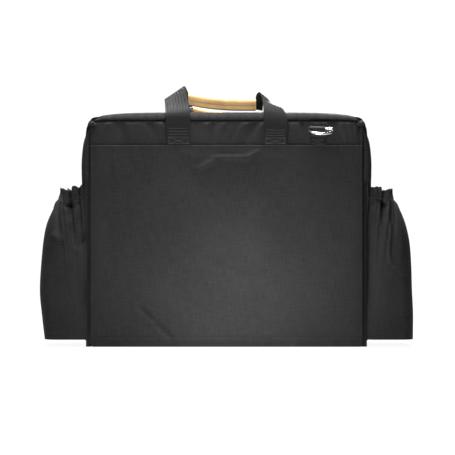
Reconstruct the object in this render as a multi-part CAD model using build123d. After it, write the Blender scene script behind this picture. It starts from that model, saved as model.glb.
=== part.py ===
from build123d import *
import math
import os

# Soft padded carrying case for a portable field recorder, in millimetres.
# X runs across the case, +Y points to the opening cover, +Z is up, and the origin is the middle of the base.

# ---- driving dimensions -------------------------------------------------------------------------
CASE_W = 438.0  # width of the rear and front panels, seam to seam
CASE_H = 362.0  # height of the rear and front panels, seam to seam
CASE_D = 146.0  # outer face of the rear panel to outer face of the front panel
COVER_D = 27.0  # depth of the cover that the zip lets go
PANEL_T = 7.0  # padded shell: outer cloth, foam and inner cloth
STIFF_T = 2.0  # plastic stiffener behind a panel
LINING_T = 1.5  # brushed lining
BULGE_SIDE = 15.0  # how far the padded side gusset stands out past the panel seam
BULGE_TOP = 18.0  # how far the padded top gusset stands up past the panel seam
GUSSET_T = 9.0  # padded gusset wall
TOP_R = 30.0  # outer radius of the gusset's top corners
BULGE_R = 13.0  # rounding from the gusset into the panel seam
SEAM_IN = 1.5  # how far the gusset's seam lies behind the panel's outer face
LIP_T = 7.0  # how thick the gusset is where it turns in to the panel seam
FOOT_R = 8.0  # radius of the panels' bottom corners
PANEL_EDGE_R = 3.0  # rounding of the panels' outer edges

ZIP_GAP = 24.0  # cloth edge to cloth edge across the zip
TAPE_T = 1.2  # zip tape thickness
TAPE_IN = 3.0  # how far the zip tape lies under the gusset's outer face
TEETH_W = 2.5  # width of one row of zip coil
TEETH_T = 3.0  # thickness of the coil
TEETH_GAP = 1.4  # between the two coil rows, for the slider's post
ZIP_END_Z = 14.0  # height of the zip's ends above the base
HINGE_T = 1.5  # cloth of the cover's hinge
HINGE_LIFT = 0.8  # how far the hinge cloth lies above the base
HINGE_GAP = 1.0  # between the two halves of the hinge cloth

SLIDER_X = 12.0  # each slider's place from the middle, zip closed
SLIDER_L = 15.0
SLIDER_W = 9.0
SLIDER_PLATE_T = 1.5
SLIDER_FIT = 0.3  # between the slider's plates and the coil
POST_FIT = 0.2  # between the slider's post and each coil row
BAIL_L = 8.0  # bridge on the slider that holds the pull
BAIL_W = 3.0
BAIL_T = 1.2
PIN_R = 0.8  # pull's pin
PIN_FIT = 0.5  # between the pin and the bail
PULL_L = 34.0
PULL_W = 9.0
PULL_T = 1.6

WEB_W = 38.0  # handle webbing width
WEB_T = 2.2  # webbing thickness
WEB_X = 77.5  # centre of each handle strap from the middle of the case
HEM_DROP = 39.0  # top seam down to the slip pocket's hem, where the straps are sewn in
GRIP_L = 112.0  # leather grip length
GRIP_H = 18.0  # leather grip height, with its stitched flange
GRIP_T = 13.0  # leather grip thickness
ROLL_H = 12.0  # webbing rolled up inside the grip, height
ROLL_T = 7.6  # webbing rolled up inside the grip, thickness
SWING_RISE = 3.0  # top seam up to the line that a handle swings about
SWING_CLEAR = 1.2  # between a strap's face and that line
STRAP_JOIN = 2.0  # gap in a strap at that line, half above and half below
HANDLE_PEAK = 36.0  # top of the rear straps above the top gusset
REAR_GRIP_IN = 27.0  # the rear grip lies this far in from the rear face
REAR_GRIP_UP = 12.0  # middle of the rear grip above the top gusset
FRONT_GRIP_OUT = 15.0  # the front grip hangs this far out from the front face
FRONT_GRIP_UP = -1.0  # middle of the front grip above the top gusset

TAB_W = 25.0  # ring tab webbing width
TAB_INSET = 73.5  # centre of the ring tab in from the side seam
TAB_DROP = 9.0  # top seam down to the top of the tab's loop
TAB_LOOP_H = 19.0  # height of the loop, down to its stitches
TAB_T = 2.0  # tab webbing thickness
TAB_DEPTH = 11.0  # how far the loop stands off the panel
RING_WIRE_R = 2.3  # ring wire radius
RING_HALF = 20.0  # half width of the ring on its wire's centreline
RING_STRAIGHT = 8.0  # bar to the centre of the ring's bow
RING_CORNER_R = 4.0  # where the bar turns into the bow
RING_SHIFT = 4.5  # how far the ring lies to one side of its tab
RING_FIT = 0.4  # between the ring's bar and the top of the loop
RING_DROOP = 20.0  # degrees that the ring hangs below level

POUCH_BASE_OUT = 66.0  # how far the pouch's base stands out from the gusset
POUCH_BELLY_OUT = 71.0  # its belly
POUCH_SHOULDER_OUT = 53.0  # its shoulder, where the gathers start
POUCH_NECK_OUT = 40.0  # its elastic neck
POUCH_MOUTH_OUT = 37.0  # its frilled edge
POUCH_Z = 11.0  # height of the pouch's base
POUCH_H = 246.0  # base to frilled edge
POUCH_NECK_DROP = 11.0  # frilled edge down to the elastic
POUCH_EDGE = 4.0  # pouch seam in from the gusset's two edges
POUCH_CORNER_R = 20.0  # its upright corners
POUCH_FOOT_R = 5.0  # its bottom edge
POUCH_T = 2.0  # pouch cloth, doubled
ELASTIC_T = 1.5
ELASTIC_H = 10.0

POCKET_T = 2.2  # rear slip pocket, cloth and turned hem
POCKET_SLACK = 0.8  # how flat the empty slip pocket lies off the panel
POCKET_SEAM = 6.0  # sewn margin round the slip pocket
POCKET_EDGE = 1.0  # slip pocket in from the panel's edge

FRONT_POCKET_INSET = 39.0  # front bellows pocket in from the side seam
FRONT_POCKET_Z = 32.0  # its bottom
FRONT_POCKET_DROP = 100.0  # top seam down to its open edge
FRONT_POCKET_D = 15.0  # its depth
FRONT_POCKET_T = 2.0  # its cloth
FRONT_POCKET_R = 12.0  # its bottom corners
FLAP_DROP = 76.0  # top seam down to the line that the pocket flap hangs from
FLAP_L = 92.0  # how far the flap hangs below that line
FLAP_T = 3.2  # flap thickness
FLAP_OVER = 5.0  # how far the flap reaches past the pocket on each side
FLAP_TACK_H = 7.0  # the flap's sewn edge above that line
FLAP_CLEAR = 0.4  # between the flap's two parts, and between hook and loop
PATCH_T = 1.6  # hook and loop tape, each half
PATCH_H = 25.0  # hook and loop tape width
PATCH_UP = 6.0  # hook tape above the flap's free edge
PATCH_HALF = 130.0  # half its length

DIVIDER_T = 12.0  # padded divider
DIVIDER_X = 70.0  # where the divider stands at rest
DIVIDER_FIT = 0.6  # between the divider and the lining
HOOK_T = 1.5  # hook tape on the divider's edges
BOARD_T = 3.0  # base board

# ---- places worked out from them ----------------------------------------------------------------
REAR_Y = -CASE_D / 2  # outer face of the rear panel
FRONT_Y = CASE_D / 2  # outer face of the front panel
HALF_W = CASE_W / 2
PANEL_TOP_R = TOP_R - BULGE_SIDE
GUSSET_HALF = HALF_W + BULGE_SIDE
GUSSET_TOP = CASE_H + BULGE_TOP
COVER_BACK_Y = FRONT_Y - COVER_D  # rear edge of the cover's rim
TUB_FRONT_Y = COVER_BACK_Y - ZIP_GAP  # front edge of the main gusset
ZIP_Y = (COVER_BACK_Y + TUB_FRONT_Y) / 2
INSIDE_HALF = GUSSET_HALF - GUSSET_T
INSIDE_TOP = GUSSET_TOP - GUSSET_T
INSIDE_R = TOP_R - GUSSET_T
SPLIT_Z = GUSSET_TOP - TOP_R  # where the side gussets meet the top gusset
STACK_T = PANEL_T + STIFF_T + LINING_T  # the whole thickness of a panel
SEAM_Y = REAR_Y + SEAM_IN
LIP_Y = SEAM_Y + LIP_T
HEM_Z = CASE_H - HEM_DROP
FAR = 1000.0  # past the case on any side


def face_plane(y):
    """Sketch plane facing the rear, with sketch X along X and sketch Y along Z."""
    return Plane(origin=(0, y, 0), x_dir=(1, 0, 0), z_dir=(0, -1, 0))


def side_plane(x):
    """Sketch plane facing +X, with sketch X along Y and sketch Y along Z."""
    return Plane(origin=(x, 0, 0), x_dir=(0, 1, 0), z_dir=(1, 0, 0))


def slab(profile, y_from, y_to):
    """A front-view profile given its thickness along Y."""
    return extrude(face_plane(y_from) * profile, amount=-(y_to - y_from))


def bar(profile, x_from, x_to):
    """A side-view profile drawn out along X."""
    return extrude(side_plane(x_from) * profile, amount=x_to - x_from)


def block(x, y, z):
    """A box from its low and high limits on each axis."""
    size = [limits[1] - limits[0] for limits in (x, y, z)]
    middle = [(limits[0] + limits[1]) / 2 for limits in (x, y, z)]
    return Pos(*middle) * Box(*size)


def arch(half_width, low, high, top_radius, low_radius=0.0):
    """Front-view outline with round top corners and, if asked, round lower ones."""
    shape = Pos(0, (low + high) / 2) * Rectangle(2 * half_width, high - low)
    shape = fillet(shape.vertices().sort_by(Axis.Y)[-2:], top_radius)
    if low_radius:
        corners = [v for v in shape.vertices() if abs(v.Y - low) < 1e-6]
        shape = fillet(corners, low_radius)
    return shape


def strip(points, thickness):
    """A closed outline of even thickness along an open run of side-view points."""
    return offset_run(points, thickness / 2) + offset_run(points, -thickness / 2)[::-1]


def offset_run(points, by):
    """The run of points moved sideways by a distance, with mitred corners."""
    moved = []
    for i, (u, v) in enumerate(points):
        before = points[max(i - 1, 0)]
        after = points[min(i + 1, len(points) - 1)]
        turn = []
        for a, b in ((before, (u, v)), ((u, v), after)):
            length = math.dist(a, b)
            if length:
                turn.append((-(b[1] - a[1]) / length, (b[0] - a[0]) / length))
        normal = [sum(t[k] for t in turn) / len(turn) for k in range(2)]
        square = normal[0] ** 2 + normal[1] ** 2
        moved.append((u + by * normal[0] / square, v + by * normal[1] / square))
    return moved


def outline(points):
    """A filled face from a closed list of points."""
    return make_face(Polyline(*points, close=True))


def mirror_y(shape):
    return mirror(shape, about=Plane.XZ)


# ---- the padded panels ---------------------------------------------------------------------------
def outer_panel():
    """Rear panel: cloth over foam, with rounded outer edges."""
    shape = slab(arch(HALF_W, 0, CASE_H, PANEL_TOP_R, FOOT_R), REAR_Y, REAR_Y + PANEL_T)
    edge = shape.faces().sort_by(Axis.Y)[0].edges()
    return fillet(edge, PANEL_EDGE_R)


def stiffener():
    """Plastic sheet behind the outer panel, clear of the seam."""
    inset = 4.0
    profile = arch(HALF_W - inset, GUSSET_T, CASE_H - inset, PANEL_TOP_R - inset)
    return slab(profile, REAR_Y + PANEL_T, REAR_Y + PANEL_T + STIFF_T)


def panel_lining():
    """Lining that covers the stiffener and reaches the gusset all round."""
    profile = arch(INSIDE_HALF, GUSSET_T, INSIDE_TOP, INSIDE_R)
    return slab(profile, REAR_Y + PANEL_T + STIFF_T, REAR_Y + STACK_T)


def gusset_form(y_edge, grow):
    """The gusset's outer surface filled in, with every outer face moved out by grow."""
    below = -2 * BULGE_R
    form = slab(
        arch(GUSSET_HALF + grow, below, GUSSET_TOP + grow, TOP_R + grow), SEAM_Y - grow, y_edge
    )
    rear_face = form.faces().sort_by(Axis.Y)[0]
    rim = [edge for edge in rear_face.edges() if edge.center().Z > below + 1]
    return fillet(rim, BULGE_R + grow)


def gusset_hoop(y_edge):
    """Top and side gussets in one, from the rear panel's seam to y_edge, open at the bottom."""
    outer = gusset_form(y_edge, 0)
    inner = slab(arch(INSIDE_HALF, -FAR, INSIDE_TOP, INSIDE_R), LIP_Y, y_edge + 1)
    seat = slab(arch(HALF_W, -FAR, CASE_H, PANEL_TOP_R), SEAM_Y - 1, LIP_Y)
    under = block((-FAR, FAR), (-FAR, FAR), (-FAR, 0))
    return outer - inner - seat - under


def split_hoop(hoop):
    """The hoop cut into its top, left and right gussets."""
    top = hoop & block((-FAR, FAR), (-FAR, FAR), (SPLIT_Z, FAR))
    left = hoop & block((-FAR, 0), (-FAR, FAR), (0, SPLIT_Z))
    right = hoop & block((0, FAR), (-FAR, FAR), (0, SPLIT_Z))
    return top, left, right


def base_strip(y_edge):
    """Padded floor between the side gussets, from the rear panel to y_edge."""
    floor = block((-INSIDE_HALF, INSIDE_HALF), (LIP_Y, y_edge), (0, GUSSET_T))
    nose = block((-HALF_W, HALF_W), (REAR_Y + PANEL_T, LIP_Y), (0, GUSSET_T))
    return floor + nose


def hoop_lining(y_edge):
    """Lining inside the top and side gussets."""
    y_start = REAR_Y + STACK_T
    outer = slab(arch(INSIDE_HALF, GUSSET_T, INSIDE_TOP, INSIDE_R), y_start, y_edge)
    inner = arch(
        INSIDE_HALF - LINING_T, GUSSET_T - 1, INSIDE_TOP - LINING_T, INSIDE_R - LINING_T
    )
    return outer - slab(inner, y_start - 1, y_edge + 1)


def hinge_cloth(y_from, y_to):
    """One half of the cloth that joins the cover to the base."""
    along = (-INSIDE_HALF, INSIDE_HALF)
    return block(along, (y_from, y_to), (HINGE_LIFT, HINGE_LIFT + HINGE_T))


def base_board():
    """Stiff board on the padded floor."""
    half = INSIDE_HALF - LINING_T
    return block(
        (-half, half), (REAR_Y + STACK_T, TUB_FRONT_Y), (GUSSET_T, GUSSET_T + BOARD_T)
    )


# ---- padded divider ------------------------------------------------------------------------------
DIVIDER_BACK = REAR_Y + STACK_T + DIVIDER_FIT
DIVIDER_FRONT = TUB_FRONT_Y - 2.0
DIVIDER_LOW = GUSSET_T + BOARD_T + DIVIDER_FIT
DIVIDER_HIGH = INSIDE_TOP - LINING_T - DIVIDER_FIT


def divider():
    """Padded wall across the main compartment."""
    across = (DIVIDER_X - DIVIDER_T / 2, DIVIDER_X + DIVIDER_T / 2)
    return block(
        across,
        (DIVIDER_BACK + HOOK_T, DIVIDER_FRONT),
        (DIVIDER_LOW + HOOK_T, DIVIDER_HIGH - HOOK_T),
    )


def divider_hooks():
    """Hook tape on the divider's top, bottom and rear edges."""
    inset = 1.0
    across = (DIVIDER_X - DIVIDER_T / 2 + inset, DIVIDER_X + DIVIDER_T / 2 - inset)
    deep = (DIVIDER_BACK + HOOK_T, DIVIDER_FRONT)
    tall = (DIVIDER_LOW + HOOK_T, DIVIDER_HIGH - HOOK_T)
    rear = block(across, (DIVIDER_BACK, DIVIDER_BACK + HOOK_T), tall)
    low = block(across, deep, (DIVIDER_LOW, DIVIDER_LOW + HOOK_T))
    high = block(across, deep, (DIVIDER_HIGH - HOOK_T, DIVIDER_HIGH))
    return Compound([rear, low, high])


# ---- zip -----------------------------------------------------------------------------------------
TEETH_IN = TAPE_IN - (TEETH_T - TAPE_T) / 2
TEETH_TOP_Z = GUSSET_TOP - TEETH_IN
ROW_NEAR = TEETH_GAP / 2
ROW_FAR = ROW_NEAR + TEETH_W
PLATE_TOP_Z = TEETH_TOP_Z + SLIDER_FIT + SLIDER_PLATE_T
PIN_Z = PLATE_TOP_Z + PIN_FIT + PIN_R
BAIL_TOP_Z = PIN_Z + PIN_R + PIN_FIT


def zip_band(y_from, y_to, depth, thickness):
    """A band over the top and down both sides, lying depth under the gusset's outer face."""
    inner_r = TOP_R - depth - thickness
    outer = arch(GUSSET_HALF - depth, ZIP_END_Z, GUSSET_TOP - depth, TOP_R - depth)
    inner = arch(
        GUSSET_HALF - depth - thickness, ZIP_END_Z - 1, GUSSET_TOP - depth - thickness, inner_r
    )
    return slab(outer, y_from, y_to) - slab(inner, y_from - 1, y_to + 1)


def zip_slider(side):
    """Slider: a plate over the coil, one under it, the post between its rows, and the bail."""
    x = side * SLIDER_X
    along = (x - SLIDER_L / 2, x + SLIDER_L / 2)
    across = (ZIP_Y - SLIDER_W / 2, ZIP_Y + SLIDER_W / 2)
    under_top = TEETH_TOP_Z - TEETH_T - SLIDER_FIT
    post_half = ROW_NEAR - POST_FIT
    top = block(along, across, (PLATE_TOP_Z - SLIDER_PLATE_T, PLATE_TOP_Z))
    under = block(along, across, (under_top - SLIDER_PLATE_T, under_top))
    post = block(
        (x - BAIL_W, x + BAIL_W), (ZIP_Y - post_half, ZIP_Y + post_half), (under_top, PLATE_TOP_Z)
    )
    bail = block(
        (x - BAIL_L / 2, x + BAIL_L / 2),
        (ZIP_Y - BAIL_W / 2, ZIP_Y + BAIL_W / 2),
        (PLATE_TOP_Z, BAIL_TOP_Z + BAIL_T),
    )
    window = block(
        (x - BAIL_L / 2 + BAIL_T, x + BAIL_L / 2 - BAIL_T),
        (ZIP_Y - BAIL_W, ZIP_Y + BAIL_W),
        (PLATE_TOP_Z, BAIL_TOP_Z),
    )
    return top + under + post + (bail - window)


def zip_pull(side):
    """Pull lying flat and pointing away from the middle, with the pin that turns in the bail."""
    x = side * SLIDER_X
    inner_half = BAIL_W / 2 + PIN_FIT
    tab_start = x + side * (BAIL_L / 2 + 2 * PIN_R)
    tab_end = x + side * PULL_L
    height = (PIN_Z - PULL_T / 2, PIN_Z + PULL_T / 2)
    shape = Pos(x, ZIP_Y, PIN_Z) * Rot(90, 0, 0) * Cylinder(PIN_R, 2 * inner_half + PIN_R)
    for way in (-1, 1):
        across = sorted((ZIP_Y + way * inner_half, ZIP_Y + way * PULL_W / 2))
        shape += block(sorted((x - side * PIN_R, tab_start)), across, height)
    across = (ZIP_Y - PULL_W / 2, ZIP_Y + PULL_W / 2)
    return shape + block(sorted((tab_start, tab_end)), across, height)


# ---- webbing, handles and rings ------------------------------------------------------------------
# Both faces of the case carry the same things, so each is made at the rear and mirrored.
SWING_Y = REAR_Y - WEB_T - SWING_CLEAR  # line that a handle swings about
SWING_Z = CASE_H + SWING_RISE
REAR_GRIP = (REAR_Y + REAR_GRIP_IN, GUSSET_TOP + REAR_GRIP_UP)
FRONT_GRIP = (REAR_Y - FRONT_GRIP_OUT, GUSSET_TOP + FRONT_GRIP_UP)


def sewn_strap(side, low_z):
    """The sewn-down end of a handle strap."""
    x = side * WEB_X
    along = (x - WEB_W / 2, x + WEB_W / 2)
    return block(along, (REAR_Y - WEB_T, REAR_Y), (low_z, SWING_Z - STRAP_JOIN / 2))


def rear_leg():
    """Side view of a rear strap: up past the gusset, in over it, and folded down to the grip."""
    y, z = REAR_GRIP
    web_y = REAR_Y - WEB_T / 2
    peak = GUSSET_TOP + HANDLE_PEAK
    return [
        (web_y, SWING_Z + STRAP_JOIN / 2),
        (web_y, GUSSET_TOP - 3),
        (REAR_Y + 15, peak - 6),
        (REAR_Y + 20, peak),
        (y, peak - 2),
        (y + 1, peak - 8),
        (y + 1, z - ROLL_H / 2),
    ]


def front_leg():
    """Side view of a front strap: up, then folded outward and down to the grip."""
    y, z = FRONT_GRIP
    web_y = REAR_Y - WEB_T / 2
    peak = GUSSET_TOP + HANDLE_PEAK / 2
    return [
        (web_y, SWING_Z + STRAP_JOIN / 2),
        (web_y, peak - 6),
        (web_y - 4, peak),
        (y + 2, peak - 1),
        (y, peak - 6),
        (y, z - ROLL_H / 2),
    ]


def handle_web(grip, leg_points):
    """Webbing above the swing line: two legs and the roll that runs through the grip."""
    y, z = grip
    leg = outline(strip(leg_points, WEB_T))
    reach = WEB_X + 2
    shape = block(
        (-reach, reach), (y - ROLL_T / 2, y + ROLL_T / 2), (z - ROLL_H / 2, z + ROLL_H / 2)
    )
    for x in (-WEB_X, WEB_X):
        shape += bar(leg, x - WEB_W / 2, x + WEB_W / 2)
    return shape


def leather_grip(grip):
    """Leather wrapped round the rolled webbing, with its stitched edge below."""
    y, z = grip
    profile = Pos(y, z) * RectangleRounded(GRIP_T, GRIP_H, GRIP_T / 2 - 0.2)
    hollow = Pos(y, z) * Rectangle(ROLL_T, ROLL_H)
    return bar(profile - hollow, -GRIP_L / 2, GRIP_L / 2)


TAB_X = HALF_W - TAB_INSET
TAB_TOP_Z = CASE_H - TAB_DROP
TAB_LOW_Z = TAB_TOP_Z - TAB_LOOP_H
RING_Y = REAR_Y - TAB_DEPTH / 2
RING_Z = TAB_TOP_Z - TAB_T - RING_WIRE_R - RING_FIT


def ring_tab(x):
    """Webbing loop that holds the ring, sewn down below it."""
    middle = Pos(RING_Y, TAB_TOP_Z - TAB_LOOP_H / 2)
    round_r = TAB_DEPTH / 2 - 0.1
    loop = middle * RectangleRounded(TAB_DEPTH, TAB_LOOP_H, round_r)
    space = middle * RectangleRounded(
        TAB_DEPTH - 2 * TAB_T, TAB_LOOP_H - 2 * TAB_T, round_r - TAB_T
    )
    leg_top = TAB_LOW_Z + TAB_DEPTH / 2
    leg = Pos(REAR_Y - TAB_T, (HEM_Z + leg_top) / 2) * Rectangle(2 * TAB_T, leg_top - HEM_Z)
    return bar(loop + leg - space, x - TAB_W / 2, x + TAB_W / 2)


def d_ring(x):
    """Round-wire D ring, its bar in the tab and its bow hanging out from the case."""
    half, corner, straight = RING_HALF, RING_CORNER_R, RING_STRAIGHT
    bend = corner * (1 - math.sqrt(0.5))
    path = Wire(
        [
            Line((0, 0), (half - corner, 0)),
            ThreePointArc((half - corner, 0), (half - bend, -bend), (half, -corner)),
            Line((half, -corner), (half, -straight)),
            ThreePointArc((half, -straight), (0, -straight - half), (-half, -straight)),
            Line((-half, -straight), (-half, -corner)),
            ThreePointArc((-half, -corner), (bend - half, -bend), (corner - half, 0)),
            Line((corner - half, 0), (0, 0)),
        ]
    )
    ring = sweep(Plane.YZ * Circle(RING_WIRE_R), path=path)
    return Pos(x, RING_Y, RING_Z) * Rot(RING_DROOP, 0, 0) * ring


# ---- pockets and pouches -------------------------------------------------------------------------
def slip_pocket():
    """Flat pocket over the rear panel, open at its hem."""
    half = HALF_W - POCKET_EDGE
    sheet = slab(
        arch(half, POCKET_EDGE, HEM_Z, 0.5, FOOT_R - POCKET_EDGE), REAR_Y - POCKET_T, REAR_Y
    )
    low = POCKET_EDGE + POCKET_SEAM
    space = slab(arch(half - POCKET_SEAM, low, HEM_Z + 1, 0.5, 2), REAR_Y - POCKET_SLACK, REAR_Y)
    return sheet - space


POUCH_BACK_Y = SEAM_Y + POUCH_EDGE
POUCH_FRONT_Y = TUB_FRONT_Y - POUCH_EDGE
POUCH_TOP_Z = POUCH_Z + POUCH_H
NECK_Z = POUCH_TOP_Z - POUCH_NECK_DROP


def pouch_form(inset, lift):
    """Filled pouch on the right gusset, its faces moved in by inset and its mouth up by lift."""
    low = POUCH_Z + inset
    start = -BULGE_SIDE + inset
    profile = outline(
        [
            (start, low),
            (POUCH_BASE_OUT - inset, low),
            (POUCH_BELLY_OUT - inset, POUCH_Z + 0.32 * POUCH_H),
            (POUCH_BELLY_OUT - 5 - inset, POUCH_Z + 0.64 * POUCH_H),
            (POUCH_SHOULDER_OUT - inset, POUCH_Z + 0.86 * POUCH_H),
            (POUCH_NECK_OUT - inset, NECK_Z),
            (POUCH_MOUTH_OUT - inset, POUCH_TOP_Z + lift),
            (start, POUCH_TOP_Z + lift),
        ]
    )
    foot = profile.vertices().filter_by(lambda v: v.Y < low + 1 and v.X > POUCH_BASE_OUT / 2)
    profile = fillet(foot, POUCH_FOOT_R - inset)
    back, front = POUCH_BACK_Y + inset, POUCH_FRONT_Y - inset
    plan = Pos((POUCH_BELLY_OUT - FAR) / 2, (back + front) / 2) * RectangleRounded(
        POUCH_BELLY_OUT - 2 * inset + FAR, front - back, POUCH_CORNER_R - inset
    )
    upright = Pos(GUSSET_HALF, 0, 0) * (slab(profile, back, front) & extrude(plan, amount=CASE_H))
    return upright - gusset_form(TUB_FRONT_Y, inset)


def pouch():
    """Right pouch: walls, back and floor round its space, open at the mouth."""
    return pouch_form(0, 0) - pouch_form(POUCH_T, 1)


def pouch_elastic():
    """Elastic sewn inside the right pouch's neck."""
    band = block((0, FAR), (-FAR, FAR), (NECK_Z - ELASTIC_H / 2, NECK_Z + ELASTIC_H / 2))
    return (pouch_form(POUCH_T, 1) - pouch_form(POUCH_T + ELASTIC_T, 2)) & band


FRONT_POCKET_HALF = HALF_W - FRONT_POCKET_INSET
FRONT_POCKET_TOP = CASE_H - FRONT_POCKET_DROP
FLAP_Z = CASE_H - FLAP_DROP
PATCH_Y = REAR_Y - FRONT_POCKET_D
FLAP_INNER_Y = PATCH_Y - 2 * PATCH_T - FLAP_CLEAR
FLAP_LOW_Z = FLAP_Z - FLAP_L
FLAP_AXIS_Y = REAR_Y - FLAP_T


def bellows_pocket():
    """Front pocket with its own walls and back, open at the top."""
    low, top = FRONT_POCKET_Z, FRONT_POCKET_TOP
    wall = FRONT_POCKET_T
    body = slab(
        arch(FRONT_POCKET_HALF, low, top, 0.5, FRONT_POCKET_R), REAR_Y - FRONT_POCKET_D, REAR_Y
    )
    space = slab(
        arch(FRONT_POCKET_HALF - wall, low + wall, top + 1, 0.5, FRONT_POCKET_R - wall),
        REAR_Y - FRONT_POCKET_D + wall,
        REAR_Y - wall,
    )
    return body - space


def hook_patch(y_near):
    """One half of the flap's hook and loop tape, standing out from y_near."""
    low = FLAP_LOW_Z + PATCH_UP
    return block((-PATCH_HALF, PATCH_HALF), (y_near - PATCH_T, y_near), (low, low + PATCH_H))


def flap():
    """Pocket flap: out over the pocket's mouth and down its face."""
    half = FRONT_POCKET_HALF + FLAP_OVER
    middle_y = FLAP_INNER_Y - FLAP_T / 2
    points = [
        (REAR_Y - FLAP_T / 2, FLAP_Z - FLAP_CLEAR),
        (REAR_Y - FLAP_T / 2, FLAP_Z - 3),
        (middle_y, FRONT_POCKET_TOP + 3),
        (middle_y, FLAP_LOW_Z),
    ]
    return bar(outline(strip(points, FLAP_T)), -half, half)


def flap_tack():
    """The flap's edge, sewn to the front panel above the fold."""
    half = FRONT_POCKET_HALF + FLAP_OVER
    return block((-half, half), (REAR_Y - FLAP_T, REAR_Y), (FLAP_Z, FLAP_Z + FLAP_TACK_H))


# ---- every node ----------------------------------------------------------------------------------
tub_top, tub_left, tub_right = split_hoop(gusset_hoop(TUB_FRONT_Y))
rim_top, rim_left, rim_right = split_hoop(mirror_y(gusset_hoop(-COVER_BACK_Y)))
right_pouch = pouch()
right_elastic = pouch_elastic()

nodes = {
    "back_panel": outer_panel(),
    "back_stiffener": stiffener(),
    "back_lining": panel_lining(),
    "top_gusset": tub_top,
    "left_gusset": tub_left,
    "right_gusset": tub_right,
    "base_panel": base_strip(TUB_FRONT_Y),
    "base_board": base_board(),
    "gusset_lining": hoop_lining(TUB_FRONT_Y),
    "rear_pocket": slip_pocket(),
    "left_pouch": mirror(right_pouch, about=Plane.YZ),
    "right_pouch": right_pouch,
    "left_pouch_elastic": mirror(right_elastic, about=Plane.YZ),
    "right_pouch_elastic": right_elastic,
    "rear_strap_left": sewn_strap(-1, HEM_Z),
    "rear_strap_right": sewn_strap(1, HEM_Z),
    "rear_ring_tab": ring_tab(TAB_X),
    "zip_tape_rear": zip_band(TUB_FRONT_Y, ZIP_Y - ROW_FAR, TAPE_IN, TAPE_T),
    "zip_teeth_rear": zip_band(ZIP_Y - ROW_FAR, ZIP_Y - ROW_NEAR, TEETH_IN, TEETH_T),
    "hinge_strip_rear": hinge_cloth(TUB_FRONT_Y, ZIP_Y - HINGE_GAP / 2),
    "rear_handle_web": handle_web(REAR_GRIP, rear_leg()),
    "rear_grip": leather_grip(REAR_GRIP),
    "rear_d_ring": d_ring(TAB_X + RING_SHIFT),
    "left_zip_slider": zip_slider(-1),
    "right_zip_slider": zip_slider(1),
    "left_zip_pull": zip_pull(-1),
    "right_zip_pull": zip_pull(1),
    "divider": divider(),
    "divider_hook_strips": divider_hooks(),
    "front_panel": mirror_y(outer_panel()),
    "front_stiffener": mirror_y(stiffener()),
    "front_lining": mirror_y(panel_lining()),
    "cover_top_rim": rim_top,
    "cover_left_rim": rim_left,
    "cover_right_rim": rim_right,
    "cover_base_rim": mirror_y(base_strip(-COVER_BACK_Y)),
    "zip_tape_front": zip_band(ZIP_Y + ROW_FAR, COVER_BACK_Y, TAPE_IN, TAPE_T),
    "zip_teeth_front": zip_band(ZIP_Y + ROW_NEAR, ZIP_Y + ROW_FAR, TEETH_IN, TEETH_T),
    "hinge_strip_front": hinge_cloth(ZIP_Y + HINGE_GAP / 2, COVER_BACK_Y),
    "front_pocket": mirror_y(bellows_pocket()),
    "front_pocket_loop": mirror_y(hook_patch(PATCH_Y)),
    "front_flap_tack": mirror_y(flap_tack()),
    "front_strap_left": mirror_y(sewn_strap(-1, FLAP_Z + FLAP_TACK_H)),
    "front_strap_right": mirror_y(sewn_strap(1, FLAP_Z + FLAP_TACK_H)),
    "front_ring_tab": mirror_y(ring_tab(-TAB_X)),
    "pocket_flap": mirror_y(flap()),
    "flap_hook": mirror_y(hook_patch(PATCH_Y - PATCH_T - FLAP_CLEAR)),
    "front_handle_web": mirror_y(handle_web(FRONT_GRIP, front_leg())),
    "front_grip": mirror_y(leather_grip(FRONT_GRIP)),
    "front_d_ring": mirror_y(d_ring(-TAB_X - RING_SHIFT)),
}

os.makedirs("parts", exist_ok=True)
for name, shape in nodes.items():
    export_step(shape, f"parts/{name}.step")

# The joints turn and slide about these places.
print("cover hinge  y", ZIP_Y, " z 0")
print("handle swing y", SWING_Y, " z", SWING_Z)
print("ring swing   y", RING_Y, " z", RING_Z)
print("pull pin     x", SLIDER_X, " y", ZIP_Y, " z", PIN_Z)
print("flap fold    y", FLAP_AXIS_Y, " z", FLAP_Z)
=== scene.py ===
"""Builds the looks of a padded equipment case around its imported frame."""

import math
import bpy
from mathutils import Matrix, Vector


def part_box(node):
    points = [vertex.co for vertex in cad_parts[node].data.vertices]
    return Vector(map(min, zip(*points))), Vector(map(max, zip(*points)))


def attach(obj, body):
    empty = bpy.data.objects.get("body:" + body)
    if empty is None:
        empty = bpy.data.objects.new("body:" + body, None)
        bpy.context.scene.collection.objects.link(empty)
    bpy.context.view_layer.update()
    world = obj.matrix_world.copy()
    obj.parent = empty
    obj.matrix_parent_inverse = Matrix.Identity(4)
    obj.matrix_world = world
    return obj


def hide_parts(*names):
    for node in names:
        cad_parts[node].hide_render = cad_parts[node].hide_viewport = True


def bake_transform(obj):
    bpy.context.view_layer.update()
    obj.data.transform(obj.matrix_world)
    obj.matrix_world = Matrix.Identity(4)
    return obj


bl_info = {
    "name": "Padded Equipment Case",
    "version": (1, 0, 0),
    "blender": (4, 5, 0),
    "location": "View3D > Sidebar > Case",
    "description": "Builds a padded nylon equipment case piece by piece around its frame",
    "category": "Add Mesh",
}

import bpy
import numpy as np
from bpy.props import FloatProperty, FloatVectorProperty, PointerProperty
from mathutils import Vector

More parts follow.
